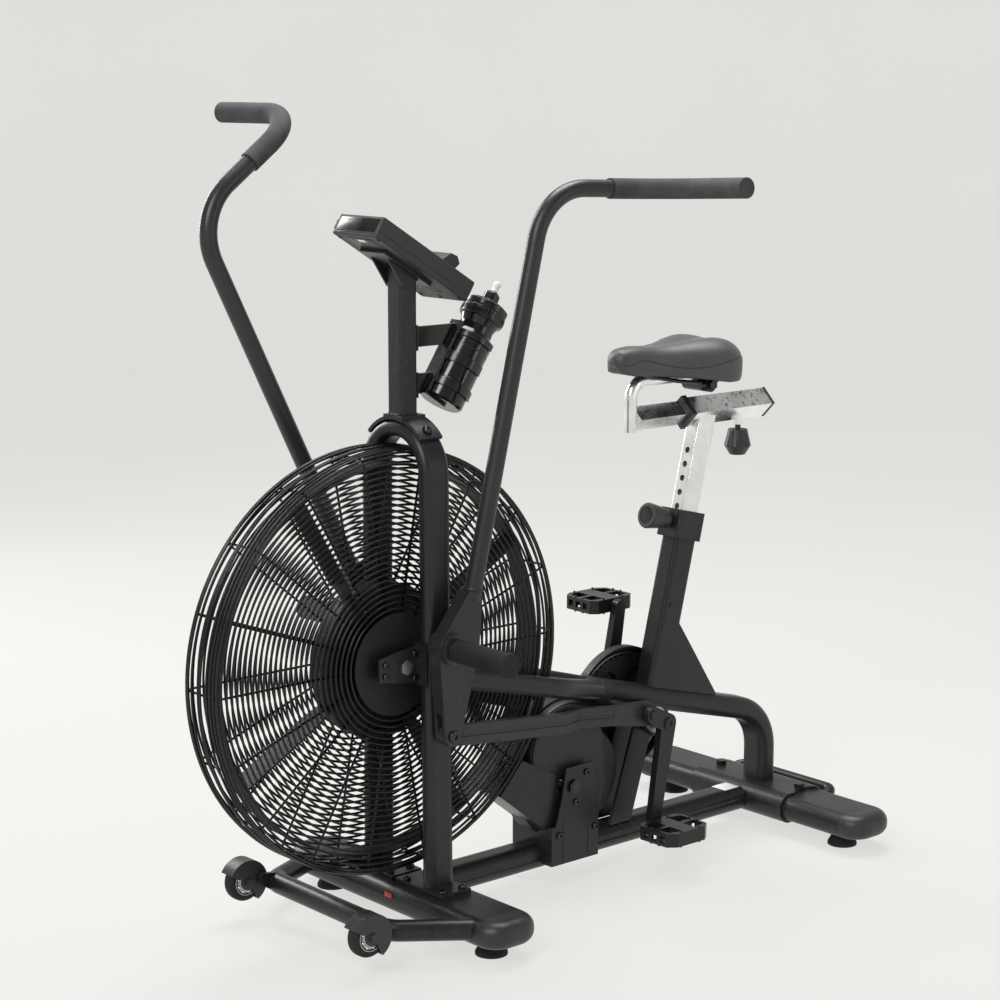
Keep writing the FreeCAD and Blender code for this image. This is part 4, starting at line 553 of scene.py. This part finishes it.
# ------------------------------------------------------------------ fan cage

WIRE = 0.002
CAGE_FACE = 0.045
CAGE_CORNER = 0.016
RING_PITCH = 0.0096
FIRST_RING = 0.09
SPOKES = 18


def cage():
    """Round wire rings on two dished halves, with spokes welded inside them."""
    low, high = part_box("cage_left")
    axle = Vector((0, (low.y + high.y) / 2, (low.z + high.z) / 2))
    rim = (high.z - low.z) / 2 - WIRE
    flat = rim - CAGE_CORNER
    rows = []
    radius = FIRST_RING
    while radius < flat:
        rows.append((CAGE_FACE, radius))
        radius += RING_PITCH
    for share in (0.25, 0.5, 0.75):
        turn = share * math.pi / 2
        x = CAGE_FACE - CAGE_CORNER + CAGE_CORNER * math.cos(turn)
        rows.append((x, flat + CAGE_CORNER * math.sin(turn)))
    for x in (CAGE_FACE - CAGE_CORNER, CAGE_FACE - CAGE_CORNER - RING_PITCH, 0.0026):
        rows.append((x, rim))
    inset = 2 * WIRE + 0.0001
    bend = CAGE_CORNER - inset
    line = [(CAGE_FACE - inset, 0.076), (CAGE_FACE - inset, flat)]
    for step in range(1, 9):
        turn = step / 8 * math.pi / 2
        line.append((CAGE_FACE - inset - bend + bend * math.cos(turn), flat + bend * math.sin(turn)))
    line.append((0.0003, rim - inset))
    for side, name in ((1, "left"), (-1, "right")):
        skins = []
        for x, radius in rows:
            circle = []
            for step in range(160):
                turn = 2 * math.pi * step / 160
                circle.append(axle + Vector((side * x, radius * math.sin(turn), radius * math.cos(turn))))
            skins.append(tube_skin(circle, WIRE, 8, True))
        for index in range(SPOKES):
            turn = 2 * math.pi * (index + 0.5) / SPOKES
            spoke = []
            for x, radius in line:
                spoke.append(axle + Vector((side * x, -radius * math.sin(turn), radius * math.cos(turn))))
            skins.append(tube_skin(spoke, WIRE, 8))
        wires = joined("cage_wires_" + name, skins, [WIRE_PAINT])
        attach(wires, "frame")
        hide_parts("cage_" + name)


cage()

# ------------------------------------------------------------------ small fittings

BLANK_LABEL = moulded("blank_label", (0.72, 0.71, 0.69), 0.4, 900.0, 0.00003)
RED_LABEL = moulded("red_label", (0.45, 0.02, 0.02), 0.4, 900.0, 0.00003)
NOZZLE_SKIN = moulded("nozzle_skin", (0.62, 0.63, 0.62), 0.3, 700.0, 0.00005)
BEAD_RADIUS = 0.0018
# Leans of the console face, the bottle and the seat tube, in radians.
CONSOLE_TILT = math.radians(31.6)
BOTTLE_LEAN = math.radians(33.8)
SEAT_LEAN = math.radians(13.98)
CONSOLE_CORNER = Vector((0, -0.3388, 1.144))
CONSOLE_THICKNESS = 34.6
BOTTLE_BASE = Vector((0, -0.1888, 0.841))
BOTTLE_LID_FOOT = 153.5
LID_RIBS = 48
CRANK_AXLE = Vector((0, 0.2502, 0.252))
CRANK_ARM_FACE = 0.084
BRACKET_FACE = 0.0508
KNOB_END_RADIUS = 0.0225
ROLLERS = 9


def lathe(name, centre, axis, profile, mats, steps=56):
    """Turn a profile of (distance along the axis, radius) pairs, in millimetres, about an axis."""
    axis = Vector(axis).normalized()
    side = axis.orthogonal().normalized()
    other = axis.cross(side)
    rings = []
    for along, radius in profile:
        ring = []
        for k in range(steps):
            turn = 2 * math.pi * k / steps
            spoke = side * math.cos(turn) + other * math.sin(turn)
            ring.append(Vector(centre) + axis * along / 1000 + spoke * max(radius, 0.05) / 1000)
        rings.append(ring)
    obj = rings_to_mesh(name, rings, mats)
    soften(obj, 0.0003)
    return obj


def soften(obj, width):
    bevel = obj.modifiers.new("edge", "BEVEL")
    bevel.width = width
    bevel.segments = 2
    bevel.limit_method = "ANGLE"
    bevel.angle_limit = math.radians(35)
    apply_modifiers(obj)
    for face in obj.data.polygons:
        face.use_smooth = True


def block(name, centre, axes, half, edge, mats):
    """Softened block with half sizes in millimetres along three axes."""
    vertices = []
    for sx in (-1, 1):
        for sy in (-1, 1):
            for sz in (-1, 1):
                offset = axes[0] * sx * half[0] + axes[1] * sy * half[1] + axes[2] * sz * half[2]
                vertices.append(Vector(centre) + offset / 1000)
    faces = [(0, 1, 3, 2), (4, 6, 7, 5), (0, 4, 5, 1), (2, 3, 7, 6), (0, 2, 6, 4), (1, 5, 7, 3)]
    obj = mesh_object(name, vertices, faces, mats)
    if axes[0].cross(axes[1]).dot(axes[2]) < 0:
        obj.data.flip_normals()
    soften(obj, edge / 1000)
    return obj


def keep_with(obj, body):
    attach(obj, body)


def weld(name, centre, axis, radius, body):
    """Rippled weld bead round a joint, its radius in millimetres."""
    axis = Vector(axis).normalized()
    side = axis.orthogonal().normalized()
    other = axis.cross(side)
    steps = 120
    path = []
    for k in range(steps):
        turn = 2 * math.pi * k / steps
        wave = 1 + 0.012 * math.sin(k * 2.1) + random.uniform(-0.006, 0.006)
        spoke = side * math.cos(turn) + other * math.sin(turn)
        path.append(Vector(centre) + spoke * radius * wave / 1000)
    bead = tube_along(name, path, BEAD_RADIUS, [FRAME_PAINT], 8, True)
    keep_with(bead, body)


def wheel_details():
    """Bearing ring with rollers and a dark hub disc on each side of both transport wheels."""
    for side, name in ((1, "left"), (-1, "right")):
        low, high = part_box("transport_wheel_" + name)
        middle = (low + high) / 2
        half = (high.x - low.x) * 500
        for face in (1, -1):
            tag = "{}_{}".format(name, "outer" if face == side else "inner")
            races = [
                (half - 3, 11.5), (half + 0.3, 12), (half + 0.3, 13.5), (half - 1, 14.2),
                (half - 1, 20.5), (half + 0.2, 21.2), (half + 0.2, 22.6), (half - 3, 23),
            ]
            ring = lathe("wheel_bearing_" + tag, middle, (face, 0, 0), races, [SATIN_STEEL])
            keep_with(ring, "wheel_" + name)
            skins = []
            for k in range(ROLLERS):
                turn = 2 * math.pi * k / ROLLERS
                ball = []
                for step in range(5):
                    reach = 15.0 + step * 1.2
                    place = Vector((face * (half - 0.8), reach * math.cos(turn), reach * math.sin(turn)))
                    ball.append(middle + place / 1000)
                skins.append(tube_skin(ball, lambda t: 0.0006 + 0.0013 * math.sin(math.pi * t), 10))
            keep_with(joined("wheel_rollers_" + tag, skins, [CHROME]), "wheel_" + name)
            hub = [
                (half - 3, 0), (half - 3, 11), (half, 11), (half + 0.4, 10),
                (half + 0.4, 4.4), (half - 0.2, 3.8), (half - 0.2, 0),
            ]
            disc = lathe("wheel_hub_" + tag, middle, (face, 0, 0), hub, [GLOSS_PLASTIC])
            keep_with(disc, "wheel_" + name)


def console_details():
    """Blank front strip, side tab, screws, hatch and slits, laid out in millimetres down the console; the
    slits are dark strips of painted shade.
    """
    across = Vector((1, 0, 0))
    down = Vector((0, math.cos(CONSOLE_TILT), -math.sin(CONSOLE_TILT)))
    out = Vector((0, math.sin(CONSOLE_TILT), math.cos(CONSOLE_TILT)))

    def at(x, along, height):
        return CONSOLE_CORNER + across * x / 1000 + down * along / 1000 + out * height / 1000

    axes = (across, down, out)
    strip = block("console_front_strip", at(0, 0.0, -16), axes, (48, 0.5, 11.5), 0.4, [GLOSS_PLASTIC])
    keep_with(strip, "frame")
    tab = block("console_tab", at(-56.5, 9, -17), axes, (3.5, 7, 8), 1.6, [CONSOLE_PLASTIC])
    keep_with(tab, "frame")
    bottom = -CONSOLE_THICKNESS
    head = [(-1, 0), (-1, 3.4), (0.9, 3.4), (1.6, 2.4), (1.6, 1.4), (0.7, 1.2), (0.7, 0)]
    for tag, x, along in (("a", -47, 12), ("b", 47, 12), ("c", -47, 198), ("d", 47, 198), ("e", 0, 200)):
        screw = lathe("console_screw_" + tag, at(x, along, bottom), -out, head, [BLACK_STEEL], 28)
        keep_with(screw, "frame")
    hatch = block("console_hatch", at(0, 24, bottom), axes, (30, 13, 0.8), 0.7, [TRIM_PLASTIC])
    keep_with(hatch, "frame")
    note = block("console_note", at(2, 18, bottom - 0.6), axes, (9, 4, 0.35), 0.2, [BLANK_LABEL])
    keep_with(note, "frame")
    # The vent slits are dark strips laid on the surface: painted shade standing in for the openings.
    for k in range(5):
        place = at(0, 160 + 6 * k, bottom)
        slit = block("console_slit_shade_{}".format(k), place, axes, (22, 1.1, 0.5), 0.4, [GLOSS_PLASTIC])
        keep_with(slit, "frame")
    seam = []
    for x, along in ((-55, 3), (-55, 207), (-52, 210), (52, 210), (55, 207), (55, 3), (52, 0), (-52, 0)):
        seam.append(at(x * 1.003, 105 + (along - 105) * 1.002, -24 if along > 1 else -29.5))
    parting = tube_along("console_parting", seam, 0.00045, [GLOSS_PLASTIC], 6, True)
    keep_with(parting, "frame")


def bottle_details():
    """Lid ribs, nozzle and body hoops, placed in millimetres up the bottle from its base."""
    axis = Vector((0, math.sin(BOTTLE_LEAN), math.cos(BOTTLE_LEAN)))
    side = Vector((1, 0, 0))
    other = axis.cross(side)
    skins = []
    for k in range(LID_RIBS):
        turn = 2 * math.pi * k / LID_RIBS
        spoke = side * math.cos(turn) + other * math.sin(turn)
        rib = []
        for step in range(7):
            reach = 36.1 + 0.5 * math.sin(math.pi * step / 6)
            along = BOTTLE_LID_FOOT + 2 * step
            rib.append(BOTTLE_BASE + axis * along / 1000 + spoke * reach / 1000)
        skins.append(tube_skin(rib, 0.0009, 8))
    keep_with(joined("bottle_lid_ribs", skins, [GLOSS_PLASTIC]), "bottle_body")
    spout = [
        (200, 0), (200, 6.2), (206, 6.2), (207, 5.2), (213, 5.6), (217, 6.6),
        (219.5, 6.0), (221, 4.0), (221, 1.6), (218, 1.2), (218, 0),
    ]
    nozzle = lathe("bottle_nozzle", BOTTLE_BASE, axis, spout, [NOZZLE_SKIN])
    keep_with(nozzle, "bottle_body")
    for k, along in enumerate((22, 34, 96, 106)):
        swell = [(along - 2.4, 36.0), (along - 1.2, 36.9), (along + 1.2, 36.9), (along + 2.4, 36.0)]
        hoop = lathe("bottle_hoop_{}".format(k), BOTTLE_BASE, axis, swell, [BOTTLE_SKIN])
        keep_with(hoop, "bottle_body")


def knob_details():
    """Ring and disc near the outer end of the height knob."""
    forward = Vector((0, -math.cos(SEAT_LEAN), math.sin(SEAT_LEAN)))
    low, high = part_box("height_knob")
    face_y = low.y + KNOB_END_RADIUS * math.sin(SEAT_LEAN)
    face_z = high.z - KNOB_END_RADIUS * math.cos(SEAT_LEAN)
    face = Vector((0, face_y, face_z))
    rim = [(-1.5, 15.5), (0.1, 15.8), (0.7, 16.4), (0.7, 18.4), (0.1, 19.2), (-1.5, 19.6)]
    ring = lathe("height_knob_ring", face, forward, rim, [CHROME])
    keep_with(ring, "height_knob_body")
    dish = [(-1.5, 0), (-1.5, 15.4), (-0.1, 15.2), (0.2, 13), (0.5, 0)]
    plate = lathe("height_knob_disc", face, forward, dish, [GLOSS_PLASTIC])
    keep_with(plate, "height_knob_body")


def crank_details():
    """A nut on each crank arm and the bearing cup on the near side."""
    dome = [(-2, 0), (-2, 10.5), (0.4, 10.5), (1.0, 9.6), (1.0, 7.6), (-0.8, 7.2), (-0.8, 0)]
    for side, tag in ((1, "left"), (-1, "right")):
        axis = Vector((side, 0, 0))
        nut = lathe("crank_nut_" + tag, CRANK_AXLE + axis * CRANK_ARM_FACE, axis, dome, [SATIN_STEEL])
        keep_with(nut, "crank")
    steps = [
        (-2, 11), (1.2, 11), (1.6, 12), (1.6, 17), (1.0, 17.6),
        (1.0, 19.4), (1.6, 20), (1.6, 23), (-2, 24),
    ]
    cup = lathe("bearing_cup", CRANK_AXLE + Vector((BRACKET_FACE, 0, 0)), (1, 0, 0), steps, [SATIN_STEEL])
    keep_with(cup, "frame")


def labels():
    """Two blank labels: a pale one on the main beam and a red one on the front stabiliser."""
    beam_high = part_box("main_beam")[1]
    tube_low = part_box("front_stabiliser")[0]
    axes = (Vector((1, 0, 0)), Vector((0, 1, 0)), Vector((0, 0, 1)))
    place = (0, beam_high.y - 0.024, beam_high.z)
    sheet = block("beam_label", place, axes, (17, 19, 0.25), 0.2, [BLANK_LABEL])
    keep_with(sheet, "frame")
    mark = block("stabiliser_label", (0.017, tube_low.y, 0.057), axes, (9, 0.35, 4), 0.2, [RED_LABEL])
    keep_with(mark, "frame")


def weld_beads():
    """Beads round the foot of the console post and the roots of the foot pegs."""
    post_low, post_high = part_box("console_post")
    middle = (post_low + post_high) / 2
    half_x = (post_high.x - post_low.x) / 2
    half_y = (post_high.y - post_low.y) / 2
    loop = []
    for step in range(96):
        turn = 2 * math.pi * step / 96
        c, s = math.cos(turn), math.sin(turn)
        x = half_x * math.copysign(abs(c) ** 0.3, c)
        y = half_y * math.copysign(abs(s) ** 0.3, s)
        wave = 1 + 0.02 * math.sin(step * 2.3)
        loop.append(Vector((x * wave, middle.y + y * wave, post_low.z + 0.0008)))
    keep_with(tube_along("post_weld", loop, BEAD_RADIUS, [FRAME_PAINT], 8, True), "frame")
    peg_low, peg_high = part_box("foot_pegs")
    for side, tag in ((1, "left"), (-1, "right")):
        centre = Vector((side * 0.111, (peg_low.y + peg_high.y) / 2, (peg_low.z + peg_high.z) / 2))
        weld("peg_weld_" + tag, centre, (1, 0, 0), 17.6, "frame")


wheel_details()
console_details()
bottle_details()
knob_details()
crank_details()
labels()
weld_beads()

# ------------------------------------------------------------------ floor, light and camera

PALE = (0.80, 0.793, 0.765)
DROP_RADIUS = 9.0


def stage_floor():
    """Pale paper floor that turns up into a low wall all round."""
    profile = [(0.0, 0.0), (2.0, 0.0), (5.0, 0.0), (7.6, 0.0)]
    for step in range(1, 9):
        turn = math.pi / 2 * step / 8
        profile.append((7.6 + 1.4 * math.sin(turn), 1.4 - 1.4 * math.cos(turn)))
    profile.append((DROP_RADIUS, 3.0))
    count = 96
    vertices = [(0.0, 0.0, 0.0)]
    for radius, height in profile[1:]:
        for k in range(count):
            turn = 2 * math.pi * k / count
            vertices.append((radius * math.cos(turn), radius * math.sin(turn), height))
    faces = [(0, 1 + k, 1 + (k + 1) % count) for k in range(count)]
    for r in range(len(profile) - 2):
        here = 1 + r * count
        for k in range(count):
            m = (k + 1) % count
            faces.append((here + k, here + count + k, here + count + m, here + m))
    mat, tree, shader = new_material("floor_paper")
    cloud = noise(tree, coords(tree), 1.2, 3.0, 0.5)
    low = tuple(c * 0.985 for c in PALE)
    glow = ramp(tree, cloud, [(0.3, low), (0.7, PALE)])
    paper = blend_colour(tree, 1.0, glow, (0.17, 0.17, 0.17), "MULTIPLY")
    tree.links.new(paper, shader.inputs["Base Color"])
    tree.links.new(glow, shader.inputs["Emission Color"])
    shader.inputs["Emission Strength"].default_value = 0.83
    shader.inputs["Roughness"].default_value = 0.95
    shader.inputs["Specular IOR Level"].default_value = 0.0
    mesh_object("floor", vertices, faces, [mat])


def area_light(name, place, target, size, power, tint=(1, 1, 1)):
    data = bpy.data.lights.new(name, "AREA")
    data.shape = "RECTANGLE"
    data.size = size[0]
    data.size_y = size[1]
    data.energy = power
    data.color = tint
    lamp = bpy.data.objects.new(name, data)
    lamp.location = place
    lamp.rotation_euler = (Vector(target) - Vector(place)).to_track_quat("-Z", "Y").to_euler()
    SCENE.collection.objects.link(lamp)


def studio():
    world = bpy.data.worlds.new("studio")
    world.use_nodes = True
    back = world.node_tree.nodes["Background"]
    back.inputs["Color"].default_value = (*PALE, 1)
    back.inputs["Strength"].default_value = 0.42
    SCENE.world = world
    SCENE.view_settings.view_transform = "Standard"
    area_light("key", (1.4, -3.4, 3.2), (0, 0, 0.6), (1.2, 2.2), 105)
    area_light("top", (-0.6, 0.6, 3.6), (0, 0, 0.5), (2.0, 2.0), 130)
    area_light("side", (3.6, 1.6, 1.8), (0, 0.1, 0.6), (0.5, 2.2), 9)
    area_light("rim", (-3.0, -0.4, 2.0), (0, 0, 0.7), (0.8, 2.4), 75)


def camera():
    data = bpy.data.cameras.new("camera")
    data.lens = 85.5
    data.sensor_width = 36.0
    data.clip_end = 100
    view = bpy.data.objects.new("camera", data)
    view.location = (2.8899, -2.5544, 1.3710)
    view.rotation_euler = (math.radians(79.58), 0, math.radians(49.23))
    SCENE.collection.objects.link(view)
    SCENE.camera = view


stage_floor()
studio()
camera()
